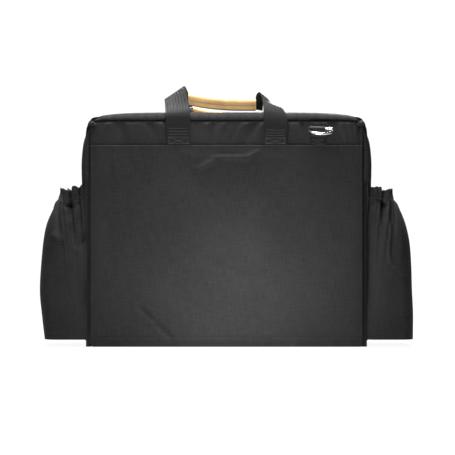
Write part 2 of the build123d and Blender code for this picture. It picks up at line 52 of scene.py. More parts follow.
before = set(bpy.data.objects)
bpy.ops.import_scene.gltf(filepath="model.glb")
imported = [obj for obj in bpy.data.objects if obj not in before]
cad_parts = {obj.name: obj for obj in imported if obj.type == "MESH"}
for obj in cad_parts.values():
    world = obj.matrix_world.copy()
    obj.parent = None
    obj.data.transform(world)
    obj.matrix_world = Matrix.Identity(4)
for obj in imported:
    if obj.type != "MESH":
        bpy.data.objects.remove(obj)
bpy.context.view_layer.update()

MM = 0.001
FULL_TURN = 2 * math.pi


# ---- places read from the frame, in millimetres --------------------------------------------------
def reach(node):
    """Lowest and highest corner of a frame node, in millimetres."""
    low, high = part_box(node)
    return [value / MM for value in low], [value / MM for value in high]


PANEL_LOW, PANEL_HIGH = reach("back_panel")
HALF_W = PANEL_HIGH[0]
CASE_H = PANEL_HIGH[2]
REAR_Y = PANEL_LOW[1]
FRONT_Y = reach("front_panel")[1][1]
HOOP_LOW, HOOP_HIGH = reach("top_gusset")
BULGE_TOP = HOOP_HIGH[2] - CASE_H
SEAM_Y = HOOP_LOW[1]
TUB_Y = HOOP_HIGH[1]
COVER_Y = reach("cover_top_rim")[0][1]
PANEL_R = 8.0  # corner radius of the panels' seam
FOOT_R = 8.0  # radius of the panels' bottom corners
LEFT_PRESS, RIGHT_PRESS = 8.0, 11.0  # how far each pouch pulls the gusset forward beside the rear seam
LINING_TUCK, TUCK_SHARE = 7.0, 0.075  # the gusset lining's tuck at its rear seam, and its share of the depth


# ---- sizes and colours that a maker would change --------------------------------------------------
class CaseSizes(bpy.types.PropertyGroup):
    """Sizes of the cloth's details."""

    stitch_pitch: FloatProperty(name="Stitch pitch", description="Stitch to stitch",
                                default=3.3 * MM, unit="LENGTH")
    stitch_length: FloatProperty(name="Stitch length", description="Thread showing in one stitch",
                                 default=2.3 * MM, unit="LENGTH")
    thread: FloatProperty(name="Thread", description="Thread thickness", default=0.55 * MM, unit="LENGTH")
    web_thickness: FloatProperty(name="Webbing", description="Webbing thickness", default=1.9 * MM,
                                 unit="LENGTH")
    cloth_thickness: FloatProperty(name="Cloth", description="Cloth thickness, doubled and coated",
                                   default=1.3 * MM, unit="LENGTH")
    pad_thickness: FloatProperty(name="Padding", description="Thickness of the padded walls",
                                 default=6.0 * MM, unit="LENGTH")
    pucker: FloatProperty(name="Pucker", description="Height of the puckers below the top seam",
                          default=4.6 * MM, unit="LENGTH")
    gather: FloatProperty(name="Gather", description="Depth of the gathers at the pouches' necks",
                          default=7.5 * MM, unit="LENGTH")
    tooth_pitch: FloatProperty(name="Tooth pitch", description="Zip tooth to zip tooth",
                               default=2.2 * MM, unit="LENGTH")


class CaseColours(bpy.types.PropertyGroup):
    """Colours of the finishes, before their variation."""

    cloth: FloatVectorProperty(name="Cloth", description="Woven nylon", subtype="COLOR",
                               default=(0.0160, 0.0160, 0.0165))
    web: FloatVectorProperty(name="Webbing", description="Ribbed webbing", subtype="COLOR",
                             default=(0.0068, 0.0068, 0.0071))
    thread: FloatVectorProperty(name="Thread", description="Sewing thread", subtype="COLOR",
                                default=(0.075, 0.075, 0.077))
    leather: FloatVectorProperty(name="Leather", description="Napped leather of the grips",
                                 subtype="COLOR", default=(0.76, 0.475, 0.205))
    leather_thread: FloatVectorProperty(name="Leather thread", description="Thread in the leather",
                                        subtype="COLOR", default=(0.13, 0.065, 0.025))
    lining: FloatVectorProperty(name="Lining", description="Brushed lining", subtype="COLOR",
                                default=(0.10, 0.10, 0.108))
    enamel: FloatVectorProperty(name="Enamel", description="Black zip metal", subtype="COLOR",
                                default=(0.03, 0.03, 0.032))


# ---- shader maths written as expressions ----------------------------------------------------------
class Flow:
    """A socket whose maths is written with the usual operators."""

    def __init__(self, paint, socket):
        self.paint = paint
        self.socket = socket

    def _math(self, operation, *values):
        return self.paint.add("ShaderNodeMath", {"operation": operation}, dict(enumerate(values)))

    def __add__(self, other):
        return self._math("ADD", self, other)

    def __sub__(self, other):
        return self._math("SUBTRACT", self, other)

    def __rsub__(self, other):
        return self._math("SUBTRACT", other, self)

    def __mul__(self, other):
        return self._math("MULTIPLY", self, other)

    def sine(self):
        return self._math("SINE", self)

    def size(self):
        return self._math("ABSOLUTE", self)

    def between(self, low, high):
        """Low to high brought to 0 to 1, and cut off outside."""
        return self.paint.add(
            "ShaderNodeMapRange", {"clamp": True}, {0: self, 1: low, 2: high, 3: 0.0, 4: 1.0}
        )

    __radd__ = __add__
    __rmul__ = __mul__


class Paint:
    """A material and the nodes that feed its Principled shader."""

    def __init__(self, name, **fixed):
        self.material = bpy.data.materials.new(name)
        self.material.use_nodes = True
        self.nodes = self.material.node_tree.nodes
        self.links = self.material.node_tree.links
        self.shader = self.nodes["Principled BSDF"]
        for label, value in fixed.items():
            self.shader.inputs[label.replace("_", " ")].default_value = value

    def add(self, kind, settings=None, inputs=None, output=0):
        """A node of that kind, its settings, then the values or links of its sockets."""
        node = self.nodes.new(kind)
        for label, value in (settings or {}).items():
            setattr(node, label, value)
        for label, value in (inputs or {}).items():
            if isinstance(value, Flow):
                self.links.new(value.socket, node.inputs[label])
            else:
                node.inputs[label].default_value = value
        return Flow(self, node.outputs[output])

    def feed(self, label, flow):
        self.links.new(flow.socket, self.shader.inputs[label])

    def cloth_uv(self):
        """The cloth's own coordinates, in metres along and across it."""
        cut = self.add("ShaderNodeUVMap", {"uv_map": "cloth"})
        apart = self.nodes.new("ShaderNodeSeparateXYZ")
        self.links.new(cut.socket, apart.inputs[0])
        return cut, Flow(self, apart.outputs[0]), Flow(self, apart.outputs[1])

    def place(self, stretch=(1, 1, 1)):
        """Object coordinates, stretched."""
        spot = self.add("ShaderNodeTexCoord", output=3)
        return self.add("ShaderNodeMapping", None, {0: spot, 3: stretch})

    def noise(self, where, scale, detail=3.0):
        return self.add("ShaderNodeTexNoise", None, {"Vector": where, "Scale": scale, "Detail": detail})

    def blend(self, share, dark, light):
        """A colour between two, by a share from 0 to 1."""
        return self.add(
            "ShaderNodeMix", {"data_type": "RGBA"}, {0: share, 6: (*dark, 1), 7: (*light, 1)}, output=2
        )

    def bump(self, height, depth, strength=1.0):
        self.feed(
            "Normal",
            self.add("ShaderNodeBump", None, {"Strength": strength, "Distance": depth, "Height": height}),
        )


def tone(colour, factor):
    """A colour made darker or lighter."""
    return tuple(min(1.0, part * factor) for part in colour)


def woven_nylon(name, colour, pitch=1.0 * MM, depth=0.25 * MM, contrast=0.22):
    """Coarse plain weave with slubs, in the piece's own cloth coordinates."""
    paint = Paint(name, Roughness=0.7, Sheen_Weight=0.02, Sheen_Roughness=0.5, Specular_IOR_Level=0.14)
    cut, across, along = paint.cloth_uv()
    turn = FULL_TURN / (2 * pitch)
    weave = (across * turn).sine() * (along * turn).sine()
    yarn = ((across * 2 * turn).sine() * (along * 2 * turn).sine()).size()
    slub_across = paint.noise(paint.add("ShaderNodeMapping", None, {0: cut, 3: (55, 480, 1)}), 1.0)
    slub_along = paint.noise(paint.add("ShaderNodeMapping", None, {0: cut, 3: (480, 55, 1)}), 1.0)
    cloud = paint.noise(cut, 9.0)
    share = slub_across * 0.5 + slub_along * 0.5
    share = (share + (cloud - 0.5) * 0.45 + weave * 0.08).between(0.34, 0.66)
    paint.feed("Base Color", paint.blend(share, tone(colour, 1 - contrast), tone(colour, 1 + contrast)))
    paint.feed("Roughness", share * -0.12 + 0.76)
    paint.bump(weave * 0.6 + yarn * 0.25 + share * 0.5, depth)
    return paint.material


def ribbed_webbing(name, colour):
    """Webbing in a broken twill, with fine cords running along it."""
    paint = Paint(name, Roughness=0.5, Sheen_Weight=0.02, Sheen_Roughness=0.4, Specular_IOR_Level=0.22)
    cut, across, along = paint.cloth_uv()
    zigzag = ((across * (FULL_TURN / 0.0095)).sine()).size() * 0.004
    rib = ((along + zigzag) * (FULL_TURN / 0.0017)).sine()
    cord = (across * (FULL_TURN / 0.0016)).sine()
    fibre = paint.noise(paint.add("ShaderNodeMapping", None, {0: cut, 3: (1500, 200, 1)}), 1.0)
    share = (rib * 0.3 + cord * 0.1 + fibre * 0.6 + 0.2).between(0.1, 0.9)
    paint.feed("Base Color", paint.blend(share, tone(colour, 0.6), tone(colour, 1.35)))
    paint.feed("Roughness", share * -0.12 + 0.56)
    paint.bump(rib * 0.5 + cord * 0.1 + fibre * 0.4, 0.13 * MM)
    return paint.material


def napped_leather(name, colour):
    """Tan leather with a short nap and blotchy tone."""
    paint = Paint(name, Roughness=0.75, Sheen_Weight=0.25, Sheen_Roughness=0.6, Specular_IOR_Level=0.3)
    spot = paint.place()
    nap = paint.noise(spot, 2600.0, 4.0)
    blotch = paint.noise(spot, 60.0, 4.0)
    pore = paint.add("ShaderNodeTexVoronoi", None, {"Vector": spot, "Scale": 900.0})
    share = (blotch * 0.75 + nap * 0.25).between(0.35, 0.65)
    paint.feed("Base Color", paint.blend(share, tone(colour, 0.84), tone(colour, 1.12)))
    paint.feed("Roughness", nap * 0.25 + 0.6)
    paint.bump(nap * 0.5 + pore * 0.35 + blotch * 0.6, 0.3 * MM, 0.7)
    return paint.material


def brushed_lining(name, colour):
    """Soft looped lining."""
    paint = Paint(name, Roughness=0.95, Sheen_Weight=0.4, Sheen_Roughness=0.7, Specular_IOR_Level=0.15)
    spot = paint.place()
    loops = paint.noise(spot, 1800.0, 5.0)
    cloud = paint.noise(spot, 14.0)
    share = (loops * 0.5 + cloud * 0.5).between(0.35, 0.65)
    paint.feed("Base Color", paint.blend(share, tone(colour, 0.75), tone(colour, 1.25)))
    paint.feed("Roughness", loops * 0.1 + 0.88)
    paint.bump(loops, 0.5 * MM)
    return paint.material


def bright_metal(name, colour, metallic, rough, wear):
    """Plated or enamelled metal with hairline scratches and handled patches."""
    paint = Paint(name, Metallic=metallic, Roughness=rough)
    scratch = paint.noise(paint.place((300, 2600, 2600)), 1.0, 4.0)
    touch = paint.noise(paint.place(), 90.0)
    share = (scratch * 0.5 + touch * 0.5).between(0.4, 0.65)
    paint.feed("Base Color", paint.blend(share, tone(colour, 0.9), tone(colour, 1.08)))
    paint.feed("Roughness", share * wear + rough)
    paint.bump(scratch, 0.03 * MM, 0.3)
    return paint.material


def moulded_black(name, rough):
    """Black moulded plastic, slightly uneven."""
    paint = Paint(name, Roughness=rough, Specular_IOR_Level=0.5)
    grain = paint.noise(paint.place(), 2200.0, 2.0)
    cloud = paint.noise(paint.place(), 40.0)
    paint.feed("Base Color", paint.blend(cloud, (0.018, 0.018, 0.019), (0.034, 0.034, 0.035)))
    paint.feed("Roughness", grain * 0.2 + (rough - 0.1))
    paint.bump(grain, 0.08 * MM, 0.5)
    return paint.material


def hook_tape(name):
    """Rows of tiny hooks or loops."""
    paint = Paint(name, Roughness=0.8)
    spot = paint.place()
    dots = paint.add("ShaderNodeTexVoronoi", None, {"Vector": spot, "Scale": 650.0})
    paint.feed("Base Color",
               paint.blend(dots.between(0.1, 0.6), (0.055, 0.055, 0.057), (0.016, 0.016, 0.017)))
    paint.feed("Roughness", dots * 0.3 + 0.6)
    paint.bump(1.0 - dots, 0.6 * MM)
    return paint.material


def sewing_thread(name, colour):
    """Twisted bonded thread."""
    paint = Paint(name, Roughness=0.55, Sheen_Weight=0.2)
    twist = paint.noise(paint.place(), 3200.0, 2.0)
    paint.feed("Base Color", paint.blend(twist, tone(colour, 0.7), tone(colour, 1.3)))
    paint.feed("Roughness", twist * 0.3 + 0.45)
    paint.bump(twist, 0.1 * MM)
    return paint.material


FINISH = {}


def mix_finishes(colours):
    """Every finish of the case, by its name."""
    FINISH.update(
        cloth=woven_nylon("woven_nylon", colours.cloth),
        web=ribbed_webbing("ribbed_webbing", colours.web),
        thread=sewing_thread("black_thread", colours.thread),
        leather=napped_leather("napped_leather", colours.leather),
        leather_thread=sewing_thread("tan_thread", colours.leather_thread),
        lining=brushed_lining("brushed_lining", colours.lining),
        chrome=bright_metal("ring_chrome", (0.82, 0.81, 0.80), 1.0, 0.07, 0.14),
        enamel=bright_metal("black_enamel", colours.enamel, 0.35, 0.28, 0.2),
        coil=moulded_black("zip_coil", 0.4),
        board=moulded_black("stiffener_board", 0.5),
        tape=woven_nylon("zip_tape", tone(colours.cloth, 0.8), 0.6 * MM, 0.15 * MM, 0.2),
        elastic=woven_nylon("ribbed_elastic", tone(colours.cloth, 0.9), 0.8 * MM, 0.3 * MM, 0.25),
        hooks=hook_tape("hook_tape"),
    )


# ---- making pieces --------------------------------------------------------------------------------
def deselect():
    bpy.ops.object.select_all(action="DESELECT")


def only(piece):
    """Selects one piece and makes it the active one."""
    deselect()
    piece.select_set(True)
    bpy.context.view_layer.objects.active = piece


def points_of(piece):
    flat = np.empty(len(piece.data.vertices) * 3)
    piece.data.vertices.foreach_get("co", flat)
    return flat.reshape(-1, 3)


def move_points(piece, points):
    piece.data.vertices.foreach_set("co", np.ascontiguousarray(points, dtype=np.float32).ravel())
    piece.data.update()


def modify(piece, kind, **settings):
    """Adds a modifier and applies it."""
    only(piece)
    modifier = piece.modifiers.new(kind.lower(), kind)
    for label, value in settings.items():
        setattr(modifier, label, value)
    bpy.ops.object.modifier_apply(modifier=modifier.name)


def in_edit(piece, *steps):
    """Runs edit-mode steps on everything in the piece."""
    only(piece)
    bpy.ops.object.mode_set(mode="EDIT")
    bpy.ops.mesh.select_all(action="SELECT")
    for step in steps:
        step()
    bpy.ops.object.mode_set(mode="OBJECT")


def name_cloth_map(piece):
    """Every piece carries its cloth coordinates under one name."""
    layers = piece.data.uv_layers
    if not layers:
        layers.new(name="cloth")
    layers[0].name = "cloth"
    return layers[0]


def dress(piece, finish, body, replaces=(), angle=40):
    """Gives a piece its finish, its body and the frame nodes that it stands for."""
    only(piece)
    bpy.ops.object.shade_smooth_by_angle(angle=math.radians(angle))
    piece.data.materials.clear()
    piece.data.materials.append(FINISH[finish])
    if body:
        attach(piece, body)
    if replaces:
        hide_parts(*replaces)
    return piece


class Skin:
    """A surface: place(u, v) gives points in millimetres, with u and v from 0 to 1."""

    def __init__(self, place, width, length):
        self.place = place
        self.width = width
        self.length = length

    def points(self, u, v):
        """Points for arrays u and v, one row each, in metres."""
        u, v = np.atleast_1d(u).astype(float), np.atleast_1d(v).astype(float)
        return np.stack(np.broadcast_arrays(*self.place(u, v)), axis=1) * MM

    def distances(self):
        """How far along the surface each u and each v lies, as shares of its whole width and length."""
        even = np.linspace(0, 1, 500)
        shares = []
        for line in (self.points(even, np.full_like(even, 0.5)), self.points(np.full_like(even, 0.5), even)):
            run = np.cumsum([0, *np.linalg.norm(np.diff(line, axis=0), axis=1)])
            shares.append(run / run[-1])
        return [lambda at, share=share: np.interp(at, even, share) for share in shares]

    def piece(self, name, across, along, turn_over=False):
        """A grid primitive laid over the surface, with its cloth coordinates in metres."""
        deselect()
        bpy.ops.mesh.primitive_grid_add(x_subdivisions=across, y_subdivisions=along, size=1)
        piece = bpy.context.object
        piece.name = name
        flat = points_of(piece)
        u, v = np.clip(flat[:, 0] + 0.5, 0, 1), np.clip(flat[:, 1] + 0.5, 0, 1)
        layer = name_cloth_map(piece)
        corners = np.empty(len(piece.data.loops), dtype=int)
        piece.data.loops.foreach_get("vertex_index", corners)
        far_u, far_v = self.distances()
        cut = np.stack([far_u(u[corners]) * self.width * MM, far_v(v[corners]) * self.length * MM], axis=1)
        layer.data.foreach_set("uv", cut.astype(np.float32).ravel())
        move_points(piece, self.points(u, v))
        if turn_over:
            in_edit(piece, bpy.ops.mesh.flip_normals)
        return piece

    def frames(self, route, pitch, lift):
        """Stitch places along a route of (u, v) corners: origin, forward and up, lift above the skin."""
        route = np.array(route, dtype=float)
        ends = np.cumsum([0, *np.linalg.norm(np.diff(route, axis=0), axis=1)])
        fine = np.linspace(0, ends[-1], 600)
        u, v = np.interp(fine, ends, route[:, 0]), np.interp(fine, ends, route[:, 1])
        line = self.points(u, v)
        run = np.cumsum([0, *np.linalg.norm(np.diff(line, axis=0), axis=1)])
        stops = np.arange(pitch / 2, run[-1], pitch)
        u, v = np.interp(stops, run, u), np.interp(stops, run, v)
        step = 1e-3
        here = self.points(u, v)
        by_u = self.points(np.minimum(u + step, 1), v) - self.points(np.maximum(u - step, 0), v)
        by_v = self.points(u, np.minimum(v + step, 1)) - self.points(u, np.maximum(v - step, 0))
        up = unit(np.cross(by_u, by_v))
        ahead = np.stack([np.interp(stops + 1e-4, run, line[:, k]) for k in range(3)], axis=1)
        behind = np.stack([np.interp(stops - 1e-4, run, line[:, k]) for k in range(3)], axis=1)
        return here + up * lift, unit(ahead - behind), up


def unit(vectors):
    return vectors / np.maximum(np.linalg.norm(vectors, axis=1, keepdims=True), 1e-12)


def repeat(name, template, frames):
    """One mesh of the template at every frame; the template is removed."""
    origin, forward, up = frames
    side = unit(np.cross(up, forward))
    up = np.cross(forward, side)
    shape = points_of(template)
    faces = [tuple(face.vertices) for face in template.data.polygons]
    bpy.data.objects.remove(template)
    moved = (
        origin[:, None, :]
        + shape[None, :, 0:1] * forward[:, None, :]
        + shape[None, :, 1:2] * side[:, None, :]
        + shape[None, :, 2:3] * up[:, None, :]
    )
    count = len(shape)
    mesh = bpy.data.meshes.new(name)
    all_faces = [tuple(i + k * count for i in face) for k in range(len(origin)) for face in faces]
    mesh.from_pydata(moved.reshape(-1, 3).tolist(), [], all_faces)
    piece = bpy.data.objects.new(name, mesh)
    bpy.context.scene.collection.objects.link(piece)
    name_cloth_map(piece)
    return piece


def stitch_template(sizes):
    """One stitch: a short bead of thread, lying along X."""
    deselect()
    bpy.ops.mesh.primitive_uv_sphere_add(segments=8, ring_count=5, radius=0.5)
    bead = bpy.context.object
    scale = np.array([sizes.stitch_length, sizes.thread, sizes.thread])
    shape = points_of(bead)[:, [2, 0, 1]] * scale
    move_points(bead, shape)
    return bead


def sew(name, sizes, rows, finish="thread", body="case"):
    """Rows of stitches as one piece. Each row is a skin, a route on it and +1 or -1 for the side."""
    runs = []
    for skin, route, side in rows:
        here, forward, up = skin.frames(route, sizes.stitch_pitch, 0)
        runs.append((here + up * side * sizes.thread * 0.35, forward, up * side))
    frames = [np.concatenate(part) for part in zip(*runs)]
    return dress(repeat(name, stitch_template(sizes), frames), finish, body)


def smooth_run(stations, amount):
    """A smooth curve through stations, at amounts from 0 to 1."""
    stations = np.array(stations, dtype=float)
    last = len(stations) - 1
    where = np.clip(np.atleast_1d(amount), 0, 1) * last
    left = np.clip(where.astype(int), 0, last - 1)
    t = (where - left)[:, None]
    p0, p1 = stations[np.maximum(left - 1, 0)], stations[left]
    p2, p3 = stations[left + 1], stations[np.minimum(left + 2, last)]
    return 0.5 * (
        2 * p1 + (p2 - p0) * t + (2 * p0 - 5 * p1 + 4 * p2 - p3) * t**2 + (3 * (p1 - p2) + p3 - p0) * t**3
    )


def ease(value, low, high):
    """0 below low, 1 above high, smooth between."""
    t = np.clip((value - low) / (high - low), 0, 1)
    return t * t * (3 - 2 * t)


def crease(x, z, start, end, width, height):
    """Height of a fold that runs from start to end and fades out at both."""
    dx, dz = end[0] - start[0], end[1] - start[1]
    length = math.hypot(dx, dz)
    along = ((x - start[0]) * dx + (z - start[1]) * dz) / length**2
    beside = ((x - start[0]) * dz - (z - start[1]) * dx) / length
    fade = np.clip(1 - (2 * along - 1) ** 2, 0, 1)
    return height * fade * np.exp(-((beside / width) ** 2))


def ripple(x, z, size, seed, waves=6):
    """Soft unevenness from -1 to 1, about size from crest to crest."""
    draw = np.random.default_rng(seed)
    total = 0
    for _ in range(waves):
        heading, phase = draw.uniform(0, FULL_TURN, 2)
        length = size * draw.uniform(0.7, 1.7)
        total = total + np.sin((x * math.cos(heading) + z * math.sin(heading)) * FULL_TURN / length + phase)
    return total / waves


# ---- the case's shapes ----------------------------------------------------------------------------
def hoop(amount, half, top, bend, foot=0.0):
    """An upside-down U by share of its length: across, up, outward direction and run so far."""
    side = top - bend - foot
    arc = math.pi / 2 * bend
    over = 2 * (half - bend)
    run = amount * (2 * side + 2 * arc + over)
    turn_in = np.clip((run - side) / bend, 0, math.pi / 2)
    turn_out = np.clip((run - side - arc - over) / bend, 0, math.pi / 2)
    turn = turn_in + turn_out
    out_x, out_z = -np.cos(turn), np.sin(turn)
    middle = np.clip(run - side - arc, 0, over)
    x = -half + bend + middle + bend * out_x
    z = foot + np.clip(run, 0, side) + bend * out_z
    z = z - np.clip(run - side - 2 * arc - over, 0, side)
    return x, z, out_x, out_z, run


def hoop_length(half, top, bend, foot=0.0):
    return 2 * (top - bend - foot) + math.pi * bend + 2 * (half - bend)


GUSSET_RUN = hoop_length(HALF_W, CASE_H, PANEL_R)
CORNER_RUNS = [
    CASE_H - PANEL_R + math.pi / 4 * PANEL_R,
    GUSSET_RUN - (CASE_H - PANEL_R + math.pi / 4 * PANEL_R),
]
ROLL_R = 14.0  # rounding of the gusset behind its seam
ROLL_SHARE = 0.28  # share of the cloth that lies on that rounding
SPLIT = (CASE_H - PANEL_R) / GUSSET_RUN  # where the side gussets meet the top gusset


def gather(run, seed, first=16.0):
    """Uneven little folds along a gathered seam, from -1 to 1."""
    draw = np.random.default_rng(seed)
    folds = sum(
        np.sin(run * FULL_TURN / (first * share) + draw.uniform(0, FULL_TURN) + 1.3 * np.sin(run / 47.0 + k))
        * weight
        for k, (share, weight) in enumerate([(1.0, 0.5), (0.61, 0.3), (0.37, 0.2)])
    )
    return folds


def corner_pinch(past):
    """How flat the gusset is pulled at a panel corner: slowly rising over the top, quickly down the side."""
    over = 0.62 * np.exp(-np.abs(past) / 30) + 0.5 * np.exp(-((past / 8) ** 2))
    down = 1.12 * np.exp(-((past / 19) ** 2))
    return np.where(past > 0, over, down)


def gusset_skin(side, edge_y):
    """The padded band from the panel's seam to the zip. side is -1 at the rear and 1 at the front."""

    def place(u, v):
        x, z, out_x, out_z, run = hoop(u, HALF_W, CASE_H, PANEL_R)
        near_corner = corner_pinch(run - CORNER_RUNS[0]) + corner_pinch(CORNER_RUNS[1] - run)
        puff = 10.8 + 3.6 * ease(-z, -350, -285) + 0.8 * ripple(z, run * 0, 90, 5)
        full = puff + (BULGE_TOP - 3.6 - puff) * out_z**2
        theta = np.radians(-38 + 128 * np.clip(v / ROLL_SHARE, 0, 1))
        flat = np.clip((v - ROLL_SHARE) / (1 - ROLL_SHARE), 0, 1)
        centre = abs(SEAM_Y) - 12.5
        depth = centre + ROLL_R * np.cos(theta)
        depth = depth + (abs(centre) - side * edge_y) * -1 * flat
        deep = ease(-depth, -48, -2)
        rise = np.where(theta > 0, 3 + (full - 3) * np.sin(theta), 3 + 3.4 * np.sin(theta))
        near_corner = np.minimum(near_corner, 1)
        rise = rise * (1 - (1.04 - 0.75 * deep) * near_corner) - 2.6 * (1 - deep) * near_corner**3
        foot = ease(z, -2, 20) * out_x**2 + out_z**2
        rise = rise * (0.15 + 0.85 * foot)
        under_pouch = ease(-z, -275, -252) * out_x**2 * (1 - np.exp(-((v / 0.08) ** 2)))
        pressed = np.where(x < 0, LEFT_PRESS, RIGHT_PRESS) * under_pouch * np.exp(-((v / 0.3) ** 2))
        depth = depth - pressed
        lumps = gather(run, 11) * np.exp(-(((v - 0.1) / 0.12) ** 2)) * (0.3 + 0.6 * out_z**2)
        sag = 0.9 * ripple(run, depth, 70, 3) * np.sin(np.pi * np.clip(flat, 0, 1))
        hem = -3.2 * ease(flat, 0.94, 1.0)
        rise = rise + lumps + sag + hem
        return x + out_x * rise, side * depth, z + out_z * rise

    return Skin(place, GUSSET_RUN, abs(abs(SEAM_Y) - side * edge_y) + 20)


def part_of(skin, u_range, v_range=(0.0, 1.0)):
    """A stretch of a surface as a surface of its own."""

    def place(u, v):
        return skin.place(
            u_range[0] + (u_range[1] - u_range[0]) * u, v_range[0] + (v_range[1] - v_range[0]) * v
        )

    return Skin(
        place, skin.width * (u_range[1] - u_range[0]), skin.length * (v_range[1] - v_range[0])
    )


def crowd(amount, strength=0.7):
    """Moves evenly spread values towards both ends, where a surface turns most."""
    return amount - strength * np.sin(FULL_TURN * amount) / FULL_TURN


def round_corners(x, z, half, low, high, low_bend, high_bend):
    """Pulls a rectangle's corners in to their radii."""
    x, z = x.copy(), z.copy()
    for bend, edge, way in ((low_bend, low, -1), (high_bend, high, 1)):
        if bend <= 0:
            continue
        a = (np.abs(x) - (half - bend)) / bend
        b = way * (z - (edge - way * bend)) / bend
        inside = (a > 0) & (b > 0)
        across = np.where(inside, a * np.sqrt(np.maximum(1 - b * b / 2, 0)), a)
        up = np.where(inside, b * np.sqrt(np.maximum(1 - a * a / 2, 0)), b)
        x = np.where(inside, np.sign(x) * (half - bend + across * bend), x)
        z = np.where(inside, edge - way * bend + way * up * bend, z)
    return x, z


def panel_skin(side, pucker):
    """The padded face, puckered below its top seam. side is -1 at the rear and 1 at the front."""

    def place(u, v):
        u, v = crowd(u), crowd(v, 0.6)
        half = HALF_W + 1.8
        x, z = (2 * u - 1) * half, v * CASE_H
        edge = np.minimum(np.minimum(half - np.abs(x), CASE_H - z), z + 2)
        x, z = round_corners(x, z, half, 0, CASE_H, FOOT_R, PANEL_R - 2)
        drop = CASE_H - v * CASE_H
        out = abs(REAR_Y) + 0.8 * ease(edge, 0, 30)
        at_top = ease(half - np.abs(x) - drop, -2, 6)
        out = out - 2.8 * np.exp(-edge / 2.4) * at_top - 6.0 * np.exp(-edge / 1.3) * (1 - at_top)
        folds = gather(x + 0.55 * drop * np.sin(x / 41.0 + 1.0), 21 + side, 37.0)
        out = out + pucker * folds * np.exp(-drop / 20) * ease(edge, 0, 6)
        out = out + 0.9 * ripple(x * 1.0, z, 60, 8) * ease(edge, 2, 20)
        return x, side * out, z

    return Skin(place, 2 * HALF_W, CASE_H)


def pocket_skin():
    """The rear slip pocket, slack under its hem, with the folds that handling leaves."""
    low, high = reach("rear_pocket")
    half, foot, hem = high[0] + 1.6, low[2], high[2]

    def place(u, v):
        u, v = crowd(u, 0.6), crowd(v, 0.5)
        x, z = (2 * u - 1) * half, foot + v * (hem - foot)
        side_edge, drop = half - np.abs(x), hem - z
        x, z = round_corners(x, z, half, foot, hem, FOOT_R, 0)
        out = abs(REAR_Y) + 1.5 + 1.1 * ease(side_edge, 0, 14) + 0.7 * ease(side_edge, 20, 160)
        out = out - 6.0 * np.exp(-side_edge / 1.1) + 0.5 * np.exp(-(((side_edge - 3) / 1.5) ** 2))
        folds = crease(x, z, (-78, 312), (-34, 301), 7, 1.7)
        folds = folds + crease(x, z, (-52, 282), (-12, 301), 4.4, 4.0)
        folds = folds + crease(x, z, (-30, 304), (46, 303), 4.6, 3.8)
        folds = folds + crease(x, z, (-24, 309), (26, 309), 3.4, -1.4)
        folds = folds + crease(x, z, (26, 301), (56, 314), 4.4, 3.0)
        folds = folds + crease(x, z, (46, 305), (104, 299), 6.5, 1.8)
        folds = folds + crease(x, z, (-64, 290), (-16, 230), 4.5, -2.4)
        folds = folds + crease(x, z, (-143, 66), (-112, 37), 4.5, -2.2)
        folds = folds + crease(x, z, (-116, 40), (-82, 8), 4.5, -2.2)
        folds = folds + crease(x, z, (-179, 300), (-177, 268), 4, 0.7)
        folds = folds + crease(x, z, (-118, 250), (120, 236), 16, 0.7)
        folds = folds + crease(x, z, (60, 190), (190, 60), 22, 0.6)
        out = out + folds + 0.9 * ripple(x, z, 110, 12) * ease(side_edge, 0, 40)
        out = out + 0.35 * ripple(x * 1.6, z * 0.5, 34, 14) * ease(side_edge, 0, 40)
        out = out + 0.5 * gather(x, 31, 23.0) * np.exp(-drop / 16)
        out = out - 4.2 * ease(-z, -15, 2) ** 1.5 - 0.4 * np.exp(-(((z - 15.5) / 1.6) ** 2))
        return x, -out, z

    return Skin(place, 2 * half, hem - foot)


